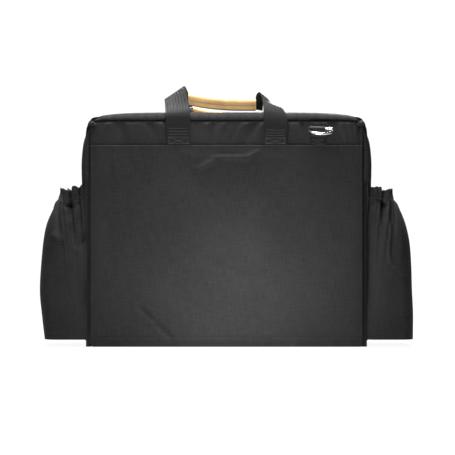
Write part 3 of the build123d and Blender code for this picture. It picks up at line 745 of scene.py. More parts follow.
def pouch_skin(side, outline, folds, valley_depth, sag):
    """A gathered side pouch, from its closed bottom to its frill. side is -1 left and 1 right."""
    foot, top = outline[0][0], outline[-1][0]
    heights = np.array([station[0] for station in outline], dtype=float)
    reaches = np.array([station[1] for station in outline], dtype=float)
    floor_share = 0.10
    base_x, middle, half = 218.0, -25.5, 43.5
    neck = top - 11
    gather_depth = bpy.context.scene.case_sizes.gather / MM

    def place(u, v):
        up = np.clip((v - floor_share) / (1 - floor_share), 0, 1)
        z = foot + up * (top - foot)
        fine = np.linspace(0, 1, 120)
        where = smooth_run(np.stack([heights, reaches, reaches * 0], axis=1), fine)
        out = np.interp(z, where[:, 0], where[:, 1])
        across, stand, out_y, out_x, run = hoop(crowd(u, 0.15), half, out - base_x, 20.0)
        face = np.clip(-out_y, 0, 1)
        below = np.maximum(neck - z, 0)
        fade = np.where(z > neck, 0.8, np.exp(-below / 26) * 0.82 + 0.18 * np.exp(-below / 75))
        fade = fade * (1 - 0.55 * np.exp(-(((z - neck + 5) / 4.0) ** 2)))
        pleats = gather(run + 0.12 * below * np.sin(run / 23.0), 41 + side, 19.0)
        pleats = np.sign(pleats) * np.abs(pleats) ** 0.8
        rumple = (0.8 + 2.2 * face) * ripple(run, z * 0.6, 75, 51 + side)
        rumple = rumple * ease(below, 0, 40) * ease(z, foot, foot + 30)
        lift = gather_depth * (pleats - 0.45) * fade + rumple
        lift = lift - 1.3 * np.exp(-(((z - neck + 5) / 3.2) ** 2))
        x = base_x + stand
        wrinkle = sum(crease(x, z, start, end, width, height) for start, end, width, height in folds)
        lift = (lift + wrinkle * face) * ease(stand, 0, 14)
        valley = valley_depth * np.exp(-(((stand - 6) / 6) ** 2)) * face
        bulge = 4.0 * ease(stand, 8, 40) * face * ease(below, 10, 60) * ease(z, foot - 4, foot + 60)
        z = z + 5.5 * ease(-x, -262, -232) * ease(z, neck - 8, top) * face
        z = z + 3.4 * pleats * ease(z, neck, top)
        z = z - sag * np.exp(-(((x - 261) / 11) ** 2)) * ease(z, neck - 40, neck) * face
        y = middle + across + out_y * lift + valley - bulge
        x = x + out_x * lift
        x = np.where(y > -40, np.maximum(x, HALF_W + 8), x)
        share = np.clip(v / floor_share, 0, 1)
        x = base_x + 12 + (x - base_x - 12) * share
        y = middle + (y - middle) * share
        return side * x, y, z

    return Skin(place, 2 * half + 130, (top - foot) / (1 - floor_share))


def web(stations_left, stations_right, width=38.0):
    """A strip of webbing between two smooth edges."""
    left, right = np.array(stations_left, float), np.array(stations_right, float)
    middle = (left + right) / 2
    length = float(np.linalg.norm(np.diff(middle, axis=0), axis=1).sum())

    def place(u, v):
        a, b = smooth_run(left, v), smooth_run(right, v)
        spot = a + (b - a) * u[:, None]
        return spot[:, 0], spot[:, 1], spot[:, 2]

    return Skin(place, width, length)


def soft_box(name, low, high, bend, crown, cuts=24):
    """A closed padded block with rounded edges and crowned faces, from a subdivided cube."""
    deselect()
    bpy.ops.mesh.primitive_cube_add(size=2)
    piece = bpy.context.object
    piece.name = name
    in_edit(piece, lambda: bpy.ops.mesh.subdivide(number_cuts=cuts))
    cube = np.sin(points_of(piece) * math.pi / 2)
    half = (np.array(high) - np.array(low)) / 2
    middle = (np.array(high) + np.array(low)) / 2
    spot = cube * half
    core = np.clip(spot, -(half - bend), half - bend)
    out = unit(spot - core)
    bulge = np.prod(1 - cube**2 + (np.abs(cube) > 0.999), axis=1) * crown
    move_points(piece, (middle + core + out * (bend + bulge[:, None])) * MM)
    lay_cloth_by_face(piece)
    return piece


def lay_cloth_by_face(piece):
    """Cloth coordinates in metres, from the direction that each face looks in."""
    layer = name_cloth_map(piece)
    for face in piece.data.polygons:
        away = max(range(3), key=lambda k: abs(face.normal[k]))
        first, second = [k for k in range(3) if k != away]
        for corner in face.loop_indices:
            spot = piece.data.vertices[piece.data.loops[corner].vertex_index].co
            layer.data[corner].uv = (spot[first], spot[second])


def thicken(piece, amount, offset=-1.0):
    modify(piece, "SOLIDIFY", thickness=amount * MM, offset=offset, use_even_offset=False)


# ---- operators ------------------------------------------------------------------------------------
class CASE_OT_finishes(bpy.types.Operator):
    """Mix the finishes and give them to the frame parts that keep their shape"""

    bl_idname = "case.finishes"
    bl_label = "Finishes"

    def execute(self, context):
        mix_finishes(context.scene.case_colours)
        kept = {
            "chrome": ("rear_d_ring", "front_d_ring"),
            "enamel": ("left_zip_slider", "right_zip_slider", "left_zip_pull", "right_zip_pull"),
            "board": ("back_stiffener", "front_stiffener", "base_board"),
            "hooks": ("divider_hook_strips", "front_pocket_loop", "flap_hook"),
        }
        for finish, nodes in kept.items():
            for node in nodes:
                mesh = bpy.data.objects[node].data
                mesh.materials.clear()
                mesh.materials.append(FINISH[finish])
        return {"FINISHED"}


class CASE_OT_panels(bpy.types.Operator):
    """Build the padded rear and front panels"""

    bl_idname = "case.panels"
    bl_label = "Panels"

    def execute(self, context):
        sizes = context.scene.case_sizes
        for side, node, body in ((-1, "back_panel", "case"), (1, "front_panel", "cover")):
            skin = panel_skin(side, sizes.pucker / MM)
            piece = skin.piece(node + "_cloth", 190, 160, turn_over=side > 0)
            thicken(piece, 6.0)
            dress(piece, "cloth", body, [node])
        return {"FINISHED"}


class CASE_OT_gussets(bpy.types.Operator):
    """Build the padded band round the case, on both sides of the zip"""

    bl_idname = "case.gussets"
    bl_label = "Gussets"

    def execute(self, context):
        for side, edge, body, names in (
            (-1, TUB_Y, "case", ("left_gusset", "top_gusset", "right_gusset")),
            (1, COVER_Y, "cover", ("cover_left_rim", "cover_top_rim", "cover_right_rim")),
        ):
            whole = gusset_skin(side, edge)
            spans = ((0.0, SPLIT), (SPLIT, 1 - SPLIT), (1 - SPLIT, 1.0))
            for node, span, along in zip(names, spans, (150, 260, 150)):
                skin = part_of(whole, span)
                piece = skin.piece(node + "_cloth", along, 60 if side < 0 else 36, turn_over=side > 0)
                thicken(piece, context.scene.case_sizes.pad_thickness / MM)
                dress(piece, "cloth", body, [node])
        return {"FINISHED"}


class CASE_OT_base(bpy.types.Operator):
    """Build the padded base, the cover's lower rim and the cloth hinge between them"""

    bl_idname = "case.base"
    bl_label = "Base and hinge"

    def execute(self, context):
        for node, body in (("base_panel", "case"), ("cover_base_rim", "cover")):
            low, high = reach(node)
            piece = soft_box(node + "_cloth", low, high, 2.5, 0.8)
            dress(piece, "cloth", body, [node])
        low, high = reach("hinge_strip_rear")[0], reach("hinge_strip_front")[1]
        middle = (low[1] + high[1]) / 2
        skin = Skin(
            lambda u, v: (
                low[0] + (high[0] - low[0]) * u,
                low[1] + (high[1] - low[1]) * v,
                low[2] + 0.75 + 0.25 * ripple(u * 450, v * 24, 30, 61),
            ),
            high[0] - low[0],
            high[1] - low[1],
        )
        piece = skin.piece("cloth_hinge", 90, 32)
        thicken(piece, 1.3, 0.0)
        dress(piece, "cloth", None, ["hinge_strip_rear", "hinge_strip_front"])
        (middle - 5) * MM
        (middle + 5) * MM
        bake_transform(piece)
        return {"FINISHED"}


class CASE_OT_slip_pocket(bpy.types.Operator):
    """Build the slip pocket on the rear panel, with the row of stitches along its hem"""

    bl_idname = "case.slip_pocket"
    bl_label = "Slip pocket"

    def execute(self, context):
        sizes = context.scene.case_sizes
        skin = pocket_skin()
        piece = skin.piece("rear_pocket_cloth", 210, 190)
        thicken(piece, sizes.cloth_thickness / MM)
        dress(piece, "cloth", "case", ["rear_pocket"])
        rows = [(skin, [(0.004, 0.9935), (0.996, 0.9935)], 1)]
        stitches = sew("rear_pocket_stitches", sizes, rows)
        return {"FINISHED"}


class CASE_OT_pouches(bpy.types.Operator):
    """Build the gathered side pouches with their elastic"""

    bl_idname = "case.pouches"
    bl_label = "Side pouches"

    def execute(self, context):
        sizes = context.scene.case_sizes
        left = [(11, 294), (45, 298), (85, 301.5), (125, 300), (165, 296.5), (195, 291), (217, 283),
                (234, 274.5), (244, 268.5), (253, 267.5)]
        right = [(11, 301.5), (50, 302), (90, 300), (130, 298.5), (165, 295.5), (195, 289), (215, 282),
                 (231, 274), (242, 268.5), (252, 267.5)]
        left_folds = [
            ((264, 236), (240, 222), 4, -4.0), ((231, 236), (252, 190), 6, 4.2),
            ((222, 186), (241, 156), 8, -4.5), ((282, 182), (262, 168), 7, 3.2),
            ((250, 150), (292, 96), 16, 2.2), ((228, 120), (236, 30), 9, -2.2),
        ]
        right_folds = [
            ((238, 243), (259, 222), 5, -4.5), ((234, 226), (248, 206), 4, 3.5),
            ((246, 218), (249, 180), 2.6, 2.6), ((247, 190), (262, 164), 2.6, 2.4),
            ((258, 232), (263, 184), 2.6, 2.8), ((263, 200), (260, 144), 2.6, 2.6),
            ((259, 158), (264, 126), 2.8, 2.2), ((261, 138), (290, 110), 3.2, 2.4),
            ((226, 235), (230, 20), 9, -3.6), ((240, 60), (286, 30), 16, 1.6),
        ]
        for side, name, outline, folds in (
            (-1, "left", left, left_folds), (1, "right", right, right_folds),
        ):
            skin = pouch_skin(side, outline, folds, *((1.0, 6.5) if side < 0 else (3.4, 2.0)))
            piece = skin.piece(f"{name}_pouch_cloth", 170, 150, turn_over=side < 0)
            thicken(piece, 1.6)
            dress(piece, "cloth", "case", [f"{name}_pouch"], angle=60)
            row = sew(
                f"{name}_pouch_stitches", sizes,
                [(skin, [(0.03, 0.945), (0.97, 0.945)], side)],
            )
            band = part_of(skin, (0.02, 0.98), (0.925, 0.965))
            elastic = band.piece(f"{name}_pouch_elastic_band", 120, 6, turn_over=side < 0)
            modify(elastic, "SOLIDIFY", thickness=-0.6 * MM, offset=1.0)
            move_points(elastic, points_of(elastic) + np.array([-side * 2.1 * MM, 0, 0]))
            dress(elastic, "elastic", "case", [f"{name}_pouch_elastic"])
        return {"FINISHED"}


class CASE_OT_rear_handle(bpy.types.Operator):
    """Build the rear handle: two folded straps, the rolled webbing and the leather grip"""

    bl_idname = "case.rear_handle"
    bl_label = "Rear handle"

    def execute(self, context):
        sizes = context.scene.case_sizes
        left = web(
            [(-95.5, -76.2, 323.6), (-96, -76.4, 340), (-97, -77.6, 358), (-97.5, -76.6, 372),
             (-98.5, -68, 385), (-99.3, -60, 394.5), (-99.4, -56.5, 397), (-96, -53.5, 395),
             (-84, -50, 389.5), (-70, -47.5, 386), (-56, -46, 386)],
            [(-57.6, -76.2, 323.6), (-58, -76.4, 340), (-58, -77.6, 358), (-58.6, -76, 374),
             (-61, -67, 392), (-65, -58.5, 412), (-67.6, -54.5, 418.8), (-66, -51, 417.5),
             (-63, -48.5, 411), (-60, -46.5, 404), (-52, -46, 399)],
        )
        right = web(
            [(59, -76.2, 323.6), (59, -76.4, 340), (59, -77.4, 360), (59.2, -74.5, 376),
             (58.6, -69, 388), (56.5, -62, 400), (53, -56.5, 408.5), (48.5, -51.5, 406),
             (46.5, -48.5, 396), (45.5, -47, 382)],
            [(96.6, -76.2, 323.6), (97, -76.4, 340), (97.4, -77.4, 355), (96.4, -75.5, 368),
             (89, -69.5, 381.5), (74, -63, 388.5), (64.5, -57.5, 399.5), (60, -51, 400),
             (59, -47, 391), (58.6, -46, 380)],
        )
        for skin, side in ((left, "left"), (right, "right")):
            piece = skin.piece(f"rear_strap_{side}_web", 26, 150)
            thicken(piece, sizes.web_thickness / MM, 0.0)
            dress(piece, "web", None, [f"rear_strap_{side}"], angle=60)
            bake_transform(piece)
        rows = []
        for skin in (left, right):
            low, high = 0.012, 0.075
            box = [(0.1, low), (0.9, low), (0.9, high), (0.1, high), (0.1, low)]
            rows += [(skin, box, 1), (skin, [(0.1, low), (0.9, high)], 1),
                     (skin, [(0.1, high), (0.9, low)], 1)]
            rows += [(skin, [(0.1, 0.1), (0.9, 0.1)], 1), (skin, [(0.1, 0.125), (0.9, 0.125)], 1)]
            rows += [(skin, [(0.1, 0.152), (0.9, 0.152)], 1)]
        shifted = [(lift_skin(skin, sizes.web_thickness / MM / 2), route, way) for skin, route, way in rows]
        sew("rear_strap_stitches", sizes, shifted)
        roll = grip_skin(grip_line_rear, (-66, 54), 4.4, 4.0, 0)
        piece = roll.piece("rear_web_roll", 28, 60)
        close_grip(piece)
        dress(piece, "web", "rear_handle", ["rear_handle_web"])
        leather_grip("rear_grip", grip_line_rear, (-62.5, 48.5), "rear_handle", sizes, -1)
        return {"FINISHED"}


def lift_skin(skin, lift):
    """The same surface, lifted off by half the cloth's thickness."""

    def place(u, v):
        here = skin.points(u, v)
        step = 1e-3
        by_u = skin.points(np.minimum(u + step, 1), v) - skin.points(np.maximum(u - step, 0), v)
        by_v = skin.points(u, np.minimum(v + step, 1)) - skin.points(u, np.maximum(v - step, 0))
        here = here / MM + unit(np.cross(by_u, by_v)) * lift
        return here[:, 0], here[:, 1], here[:, 2]

    return Skin(place, skin.width, skin.length)


def grip_line_rear(x):
    """The rear grip's middle: it hangs lower towards the right."""
    z = 389.8 + 8.6 * (np.clip(20 - x, 0, 100) / 82) ** 1.8
    return np.full_like(x, -46.0), z


def grip_line_front(x):
    """The front grip's middle: it hangs level and kicks up at the left."""
    z = 379.0 + 11.0 * (np.clip(-x, 0, 100) / 60) ** 1.6
    return np.full_like(x, 88.0), z


def grip_skin(line, span, half_y, half_z, flange):
    """A sleeve along a line. With a flange, its lower part is two flat layers sewn together."""
    if flange:
        loop = [(0, 9.6), (-4.0, 8.8), (-6.2, 6.0), (-6.3, 2.4), (-5.4, -0.9), (-4.9, -3), (-4.6, -8.2),
                (-3.4, -9.2), (3.4, -9.2), (4.6, -8.2), (4.9, -3), (5.4, -0.9), (6.3, 2.4), (6.2, 6.0),
                (4.0, 8.8), (0, 9.6)]
    else:
        turns = np.linspace(0, FULL_TURN, 17)
        loop = [(-half_y * math.sin(t), 3.6 + half_z * math.cos(t)) for t in turns]
    loop = np.array(loop)

    def place(u, v):
        section = smooth_run(np.column_stack([loop, loop[:, 0] * 0]), u)
        cap = np.minimum(1, np.minimum(v, 1 - v) / 0.008)
        cap = np.sqrt(np.clip(cap, 0, 1))
        swell = 1 + 0.035 * np.sin(v * 9) if flange else 1
        x = span[0] + (span[1] - span[0]) * v
        y, z = line(x)
        return x, y + section[:, 0] * cap * swell, z + section[:, 1] * cap

    return Skin(place, 50, span[1] - span[0])


def close_grip(piece):
    """Joins a sleeve along its seam and at its two ends."""
    in_edit(
        piece,
        lambda: bpy.ops.mesh.remove_doubles(threshold=2e-5),
        lambda: bpy.ops.mesh.normals_make_consistent(inside=False),
    )


def leather_grip(node, line, span, body, sizes, face):
    """A leather sleeve with its flange, the row that closes it and a row across one end."""
    skin = grip_skin(line, span, 6.5, 9.0, 1)
    piece = skin.piece(node + "_leather", 84, 130)
    close_grip(piece)
    dress(piece, "leather", body, [node], angle=70)

    def seam(u, v):
        x = span[0] + 3 + (span[1] - span[0] - 6) * v
        y, z = line(x)
        return x, y + face * (5.3 - 0.5 * u), z - 1.4 - 6.4 * u

    row = Skin(seam, 10, span[1] - span[0])
    routes = [(row, [(0.08, 0.0), (0.08, 1.0)], face), (row, [(0.08, 0.985), (1.0, 0.985)], face)]
    runs = []
    for stitch_skin, route, _ in routes:
        here, forward, _ = stitch_skin.frames(route, sizes.stitch_pitch * 1.1, 0)
        outward = np.tile([[0.0, float(face), 0.0]], (len(here), 1))
        runs.append((here + outward * 0.0002, forward, outward))
    frames = [np.concatenate(part) for part in zip(*runs)]
    bead = stitch_template(sizes)
    move_points(bead, points_of(bead) * np.array([1.0, 1.3, 1.3]))
    dress(repeat(node + "_stitches", bead, frames), "leather_thread", body)
    # the dark strip under the flange is painted shade
    edge = grip_shade_edge(node, line, span, body)
    return piece, edge


def grip_shade_edge(node, line, span, body):
    """A dark strip along the bottom of the flange: painted shade under the grip's lower edge."""
    turns = np.linspace(0, FULL_TURN, 13)
    loop = np.array([(4.4 * math.cos(t), 0.8 * math.sin(t)) for t in turns])

    def place(u, v):
        section = smooth_run(np.column_stack([loop, loop[:, 0] * 0]), u)
        x = span[0] + 0.6 + (span[1] - span[0] - 1.2) * v
        y, z = line(x)
        cap = np.sqrt(np.clip(np.minimum(v, 1 - v) / 0.01, 0, 1))
        return x, y + section[:, 0] * cap, z - 9.0 + section[:, 1] * cap

    piece = Skin(place, 6, span[1] - span[0]).piece(node + "_edge", 12, 90)
    close_grip(piece)
    # the dark thread finish stands in for the shade under the grip
    return dress(piece, "leather_thread", body)


class CASE_OT_front_handle(bpy.types.Operator):
    """Build the front handle, which hangs outside the cover"""

    bl_idname = "case.front_handle"
    bl_label = "Front handle"

    def execute(self, context):
        sizes = context.scene.case_sizes
        low = reach("front_strap_left")[0][2]
        skins = []
        for side in (-1, 1):
            outer = [(96, 76.2, low + 0.6), (96.2, 76.4, 330), (96.5, 77.6, 360), (96, 78, 377),
                     (93, 80, 391), (85, 83.5, 396.5), (74, 87, 394), (60, 88.5, 388.5), (52, 88.6, 386)]
            inner = [(59, 76.2, low + 0.6), (59, 76.4, 330), (59, 77.6, 360), (59, 78, 372),
                     (58.5, 80.5, 382), (57, 84, 386), (55, 86, 384.5), (52, 87.4, 380), (49, 87.6, 376)]
            lift = 7.0 if side < 0 else 0.0
            raised = [
                [(side * x, y, z + lift * max(0.0, min(1.0, (z - 375) / 10))) for x, y, z in edge]
                for edge in (outer, inner)
            ]
            edges = raised if side < 0 else raised[::-1]
            skin = web(*edges)
            skins.append(skin)
            name = "left" if side < 0 else "right"
            piece = skin.piece(f"front_strap_{name}_web", 26, 150, turn_over=True)
            thicken(piece, sizes.web_thickness / MM, 0.0)
            dress(piece, "web", None, [f"front_strap_{name}"], angle=60)
            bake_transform(piece)
        rows = []
        for skin in skins:
            raised = lift_skin(skin, -sizes.web_thickness / MM / 2)
            low_v, high_v = 0.012, 0.10
            box = [(0.1, low_v), (0.9, low_v), (0.9, high_v), (0.1, high_v), (0.1, low_v)]
            rows += [(raised, box, -1), (raised, [(0.1, low_v), (0.9, high_v)], -1),
                     (raised, [(0.1, high_v), (0.9, low_v)], -1), (raised, [(0.1, 0.33), (0.9, 0.33)], -1)]
        sew("front_strap_stitches", sizes, rows, body="cover")
        roll = grip_skin(grip_line_front, (-62, 56), 4.4, 4.0, 0)
        piece = roll.piece("front_web_roll", 28, 60)
        close_grip(piece)
        dress(piece, "web", "front_handle", ["front_handle_web"])
        leather_grip("front_grip", grip_line_front, (-58, 52), "front_handle", sizes, 1)
        return {"FINISHED"}


class CASE_OT_ring_tabs(bpy.types.Operator):
    """Build the webbing loops that hold the D rings"""

    bl_idname = "case.ring_tabs"
    bl_label = "Ring tabs"

    def execute(self, context):
        sizes = context.scene.case_sizes
        for side, node, body in ((-1, "rear_ring_tab", "case"), (1, "front_ring_tab", "cover")):
            low, high = reach(node)
            foot, top = low[2], high[2]
            face = REAR_Y - 1.0 if side < 0 else -(FRONT_Y + 1.0)
            loop = [(face - 1.6, foot + 0.6), (face - 1.8, foot + 8), (face - 2.2, foot + 14),
                    (face - 6.4, foot + 19.5), (face - 9.3, foot + 25), (face - 7.6, top - 1.6),
                    (face - 3.6, top - 0.6), (face - 0.4, top - 4), (face - 0.1, foot + 14), (face, foot + 1)]
            left = [(low[0] + 0.5 * k / 9, -side * y, z) for k, (y, z) in enumerate(loop)]
            right = [(high[0] - 0.5 * k / 9, -side * y, z - 0.8) for k, (y, z) in enumerate(loop)]
            skin = web(left, right, 25.0)
            piece = skin.piece(node + "_web", 20, 90, turn_over=side > 0)
            thicken(piece, 1.8, 0.0)
            dress(piece, "web", body, [node], angle=60)
            raised = lift_skin(skin, -side * 0.9)
            rows = [(raised, [(0.1, 0.02), (0.9, 0.02)], -side), (raised, [(0.1, 0.13), (0.9, 0.13)], -side),
                    (raised, [(0.1, 0.02), (0.9, 0.13)], -side), (raised, [(0.1, 0.13), (0.9, 0.02)], -side)]
            sew(node + "_stitches", sizes, rows, body=body)
        return {"FINISHED"}


class CASE_OT_zip(bpy.types.Operator):
    """Build the zip's two tapes and its coil"""

    bl_idname = "case.zip"
    bl_label = "Zip"

    def execute(self, context):
        sizes = context.scene.case_sizes
        low, high = reach("zip_tape_rear")
        half, top, bend = high[0], high[2], 46.0
        length = hoop_length(half, top, bend, 2.6)
        meeting = (high[1] + reach("zip_tape_front")[0][1]) / 2
        teeth_half, teeth_top = reach("zip_teeth_rear")[1][0] - 1.5, reach("zip_teeth_rear")[1][2] - 1.5
        for side, node, body in ((-1, "rear", "case"), (1, "front", "cover")):
            low, high = reach(f"zip_tape_{node}")
            from_y = low[1] - 2.0 if side < 0 else meeting + 0.15
            to_y = high[1] + 2.0 if side > 0 else meeting - 0.15

            def place(u, v, from_y=from_y, to_y=to_y):
                x, z, out_x, out_z, run = hoop(u, half, top, bend, 2.6)
                wave = 0.35 * gather(run, 71, 30.0)
                return x + out_x * wave, from_y + (to_y - from_y) * v, z + out_z * wave

            skin = Skin(place, length, to_y - from_y)
            piece = skin.piece(f"zip_tape_{node}_cloth", 330, 8)
            thicken(piece, 1.1)
            dress(piece, "tape", body, [f"zip_tape_{node}"])
            length * MM
            (to_y - from_y) * MM
            seam = 0.86 if side > 0 else 0.14
            sew(f"zip_tape_{node}_stitches", sizes, [(skin, [(0.01, seam), (0.99, seam)], 1)], body=body)
            teeth_low, teeth_high = reach(f"zip_teeth_{node}")
            middle = (teeth_low[1] + teeth_high[1]) / 2 - side * 0.35

            def coil(u, v, middle=middle):
                x, z = hoop(u, teeth_half, teeth_top, bend - 1, 14)[:2]
                return x, middle + v * 0.2, z

            row = Skin(coil, hoop_length(teeth_half, teeth_top, bend - 1, 14), 0.2)
            frames = row.frames([(0.0, 0.5), (1.0, 0.5)], sizes.tooth_pitch, 0)
            if side > 0:
                frames = (frames[0] + frames[1] * sizes.tooth_pitch / 2, frames[1], frames[2])
            deselect()
            bpy.ops.mesh.primitive_uv_sphere_add(segments=8, ring_count=5, radius=0.5)
            tooth = bpy.context.object
            move_points(tooth, points_of(tooth)[:, [0, 2, 1]] * np.array([1.55, 3.6, 2.7]) * MM)
            dress(repeat(f"zip_coil_{node}", tooth, frames), "coil", body, [f"zip_teeth_{node}"])
        return {"FINISHED"}


class CASE_OT_front_pocket(bpy.types.Operator):
    """Build the front pocket and the flap that closes it"""

    bl_idname = "case.front_pocket"
    bl_label = "Front pocket"

    def execute(self, context):
        sizes = context.scene.case_sizes
        low, high = reach("front_pocket")
        half, foot, top, deep = high[0], low[2], high[2], high[1] - FRONT_Y

        def pocket(u, v):
            u, v = crowd(u, 0.85), crowd(v, 0.8)
            x, z = (2 * u - 1) * half, foot + v * (top - foot)
            side_edge, low_edge = half - np.abs(x), z - foot
            x, z = round_corners(x, z, half, foot, top, 12, 0)
            rise = 1 - (1 - np.clip(side_edge / 9, 0, 1)) ** 3
            rise = rise * (1 - (1 - np.clip(low_edge / 11, 0, 1)) ** 3)
            out = FRONT_Y + 1.0 + (deep - 2.6) * rise
            out = out + (1.0 * ripple(x, z, 90, 81) - 0.6) * ease(np.minimum(side_edge, low_edge), 6, 40)
            return x, out, z

        skin = Skin(pocket, 2 * half + 30, top - foot + 15)
        piece = skin.piece("front_pocket_cloth", 170, 130, turn_over=True)
        thicken(piece, 1.4)
        dress(piece, "cloth", "cover", ["front_pocket"])
        edges = [(skin, [(0.03, 0.985), (0.97, 0.985)], -1), (skin, [(0.03, 0.955), (0.97, 0.955)], -1)]
        stitches = sew("front_pocket_stitches", sizes, edges, body="cover")

        low, high = reach("pocket_flap")
        tack_top = reach("front_flap_tack")[1][2]
        flap_half, flap_low, flap_y = high[0], low[2], high[1]
        fall = [(FRONT_Y + 1.6, tack_top), (FRONT_Y + 2.0, tack_top - 5), (FRONT_Y + 4.6, tack_top - 10),
                (FRONT_Y + 11, tack_top - 17), (flap_y - 3.2, tack_top - 26), (flap_y - 1.6, tack_top - 40),
                (flap_y - 1.5, tack_top - 70), (flap_y - 1.6, flap_low + 0.6)]

        def flap(u, v):
            u = crowd(u, 0.5)
            where = smooth_run([(y, z, 0) for y, z in fall], 1 - v)
            x = (2 * u - 1) * flap_half
            free = ease(1 - v, 0.15, 0.9)
            y = where[:, 0] + 1.0 * ripple(x, where[:, 1], 130, 91) * free
            x, z = round_corners(x, where[:, 1], flap_half, flap_low, tack_top, 10, 0)
            return x, y, z

        skin = Skin(flap, 2 * flap_half, 108)
        piece = skin.piece("pocket_flap_cloth", 150, 80, turn_over=True)
        thicken(piece, 2.4, 0.0)
        dress(piece, "cloth", None, ["pocket_flap", "front_flap_tack"])
        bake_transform(piece)
        raised = lift_skin(skin, -1.2)
        edge = [(0.02, 0.78), (0.02, 0.06), (0.035, 0.03), (0.965, 0.03), (0.98, 0.06), (0.98, 0.78)]
        stitches = sew("pocket_flap_stitches", sizes, [(raised, edge, -1)], body="pocket_flap")
        tack = sew("pocket_flap_tack_stitches", sizes, [(raised, [(0.02, 0.98), (0.98, 0.98)], -1)],
                   body="cover")
        return {"FINISHED"}


class CASE_OT_linings(bpy.types.Operator):
    """Build the brushed linings of the panels and the gusset"""

    bl_idname = "case.linings"
    bl_label = "Linings"

    def execute(self, context):
        for node, body, side in (("back_lining", "case", 1), ("front_lining", "cover", -1)):
            low, high = reach(node)
            face = high[1] if side > 0 else low[1]

            def place(u, v, low=low, high=high, face=face, side=side):
                x, z = (2 * u - 1) * (high[0] - 3), low[2] + v * (high[2] - 3 - low[2])
                x, z = round_corners(x, z, high[0] - 3, low[2], high[2] - 3, 2, 50)
                return x, face + side * 0.25 * ripple(x, z, 80, 95), z

            skin = Skin(place, 2 * high[0], high[2] - low[2])
            piece = skin.piece(node + "_cloth", 110, 90, turn_over=side > 0)
            thicken(piece, 1.3)
            dress(piece, "lining", body, [node])
        low, high = reach("gusset_lining")
        half, top, bend = high[0] - 0.4, high[2] - 0.4, 52.0

        def band(u, v):
            x, z, out_x, out_z, run = hoop(u, half, top, bend, low[2])
            wave = -0.3 + 0.3 * ripple(run, v * 84, 60, 97)
            wave = wave - LINING_TUCK * out_x**2 * np.exp(-((v / TUCK_SHARE) ** 2))
            return x + out_x * wave, low[1] + (high[1] - low[1]) * v, z + out_z * wave

        length = hoop_length(half, top, bend, low[2])
        skin = Skin(band, length, high[1] - low[1])
        piece = skin.piece("gusset_lining_cloth", 260, 30)
        thicken(piece, 1.2)
        dress(piece, "lining", "case", ["gusset_lining"])
        length * MM
        return {"FINISHED"}


class CASE_OT_divider(bpy.types.Operator):
    """Build the padded divider"""

    bl_idname = "case.divider"
    bl_label = "Divider"

    def execute(self, context):
        low, high = reach("divider")
        near, far = [low[0] + 0.6, low[1], low[2]], [high[0] - 0.6, high[1], high[2]]
        piece = soft_box("divider_pad", near, far, 4.0, 0.6)
        dress(piece, "lining", "divider", ["divider"])
        return {"FINISHED"}


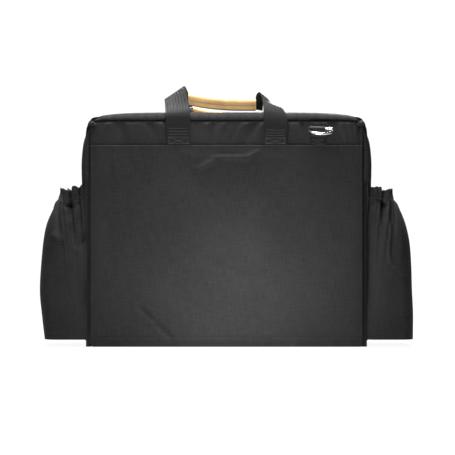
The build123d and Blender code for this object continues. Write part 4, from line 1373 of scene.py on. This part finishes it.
class CASE_OT_studio(bpy.types.Operator):
    """Set the pale floor, the soft lights, the white surround and the camera"""

    bl_idname = "case.studio"
    bl_label = "Studio"

    def execute(self, context):
        deselect()
        bpy.ops.mesh.primitive_plane_add(size=2.4)
        floor = bpy.context.object
        floor.name = "studio_floor"
        name_cloth_map(floor)
        paint = Paint("studio_floor", Roughness=0.9, Specular_IOR_Level=0.1, Emission_Strength=0.92)
        paint.shader.inputs["Emission Color"].default_value = (1, 1, 1, 1)
        cloud = paint.noise(paint.place(), 3.0)
        paint.feed("Base Color", paint.blend(cloud, (0.035, 0.035, 0.035), (0.045, 0.045, 0.045)))
        floor.data.materials.append(paint.material)
        for name, place, size, power in (
            ("key", (-1.35, -0.6, 1.6), 0.8, 10),
            ("top_glow", (-0.1, -0.05, 2.0), 0.9, 104),
            ("low_glow", (0.02, -0.25, 0.05), 0.18, 1.35),
            ("grip_glow", (-0.02, -0.36, 0.60), 0.14, 0.75),
            ("front_key", (0.6, 1.6, 1.5), 0.7, 56),
            ("front_fill", (-0.9, 2.2, 0.9), 1.2, 18),
        ):
            deselect()
            aim = (Vector((0, 0, 0.2)) - Vector(place)).to_track_quat("-Z", "Y").to_euler()
            bpy.ops.object.light_add(type="AREA", location=place, rotation=aim)
            light = bpy.context.object
            light.name = name
            light.data.size = size
            light.data.energy = power
            light.visible_camera = False
        world = bpy.data.worlds.new("studio_surround")
        context.scene.world = world
        world.use_nodes = True
        nodes, links = world.node_tree.nodes, world.node_tree.links
        nodes["Background"].inputs[0].default_value = (1, 1, 1, 1)
        seen = nodes.new("ShaderNodeLightPath")
        brightness = nodes.new("ShaderNodeMapRange")
        links.new(seen.outputs["Is Camera Ray"], brightness.inputs[0])
        brightness.inputs[3].default_value = 0.05
        brightness.inputs[4].default_value = 1.05
        links.new(brightness.outputs[0], nodes["Background"].inputs[1])
        deselect()
        bpy.ops.object.camera_add(location=(0.0016, -2.273, 0.191), rotation=(math.pi / 2, 0, 0))
        camera = bpy.context.object
        camera.data.lens = 108.8
        camera.data.sensor_width = 36.0
        context.scene.camera = camera
        context.scene.view_settings.view_transform = "Standard"
        return {"FINISHED"}


OPERATORS = (
    CASE_OT_studio, CASE_OT_finishes, CASE_OT_panels, CASE_OT_gussets, CASE_OT_base, CASE_OT_slip_pocket,
    CASE_OT_pouches, CASE_OT_rear_handle, CASE_OT_front_handle, CASE_OT_ring_tabs, CASE_OT_zip,
    CASE_OT_front_pocket, CASE_OT_linings, CASE_OT_divider,
)


class CASE_PT_builder(bpy.types.Panel):
    """Lists the case's sizes, colours and building steps"""

    bl_label = "Padded Case"
    bl_space_type = "VIEW_3D"
    bl_region_type = "UI"
    bl_category = "Case"

    def draw(self, context):
        for group in (context.scene.case_sizes, context.scene.case_colours):
            for label in type(group).__annotations__:
                self.layout.prop(group, label)
        for step in OPERATORS:
            self.layout.operator(step.bl_idname)


CLASSES = (CaseSizes, CaseColours, *OPERATORS, CASE_PT_builder)


def register():
    for kind in CLASSES:
        bpy.utils.register_class(kind)
    bpy.types.Scene.case_sizes = PointerProperty(type=CaseSizes)
    bpy.types.Scene.case_colours = PointerProperty(type=CaseColours)


def unregister():
    del bpy.types.Scene.case_colours
    del bpy.types.Scene.case_sizes
    for kind in reversed(CLASSES):
        bpy.utils.unregister_class(kind)


def main():
    register()
    for step in OPERATORS:
        group, label = step.bl_idname.split(".")
        getattr(getattr(bpy.ops, group), label)()


if __name__ == "__main__":
    main()
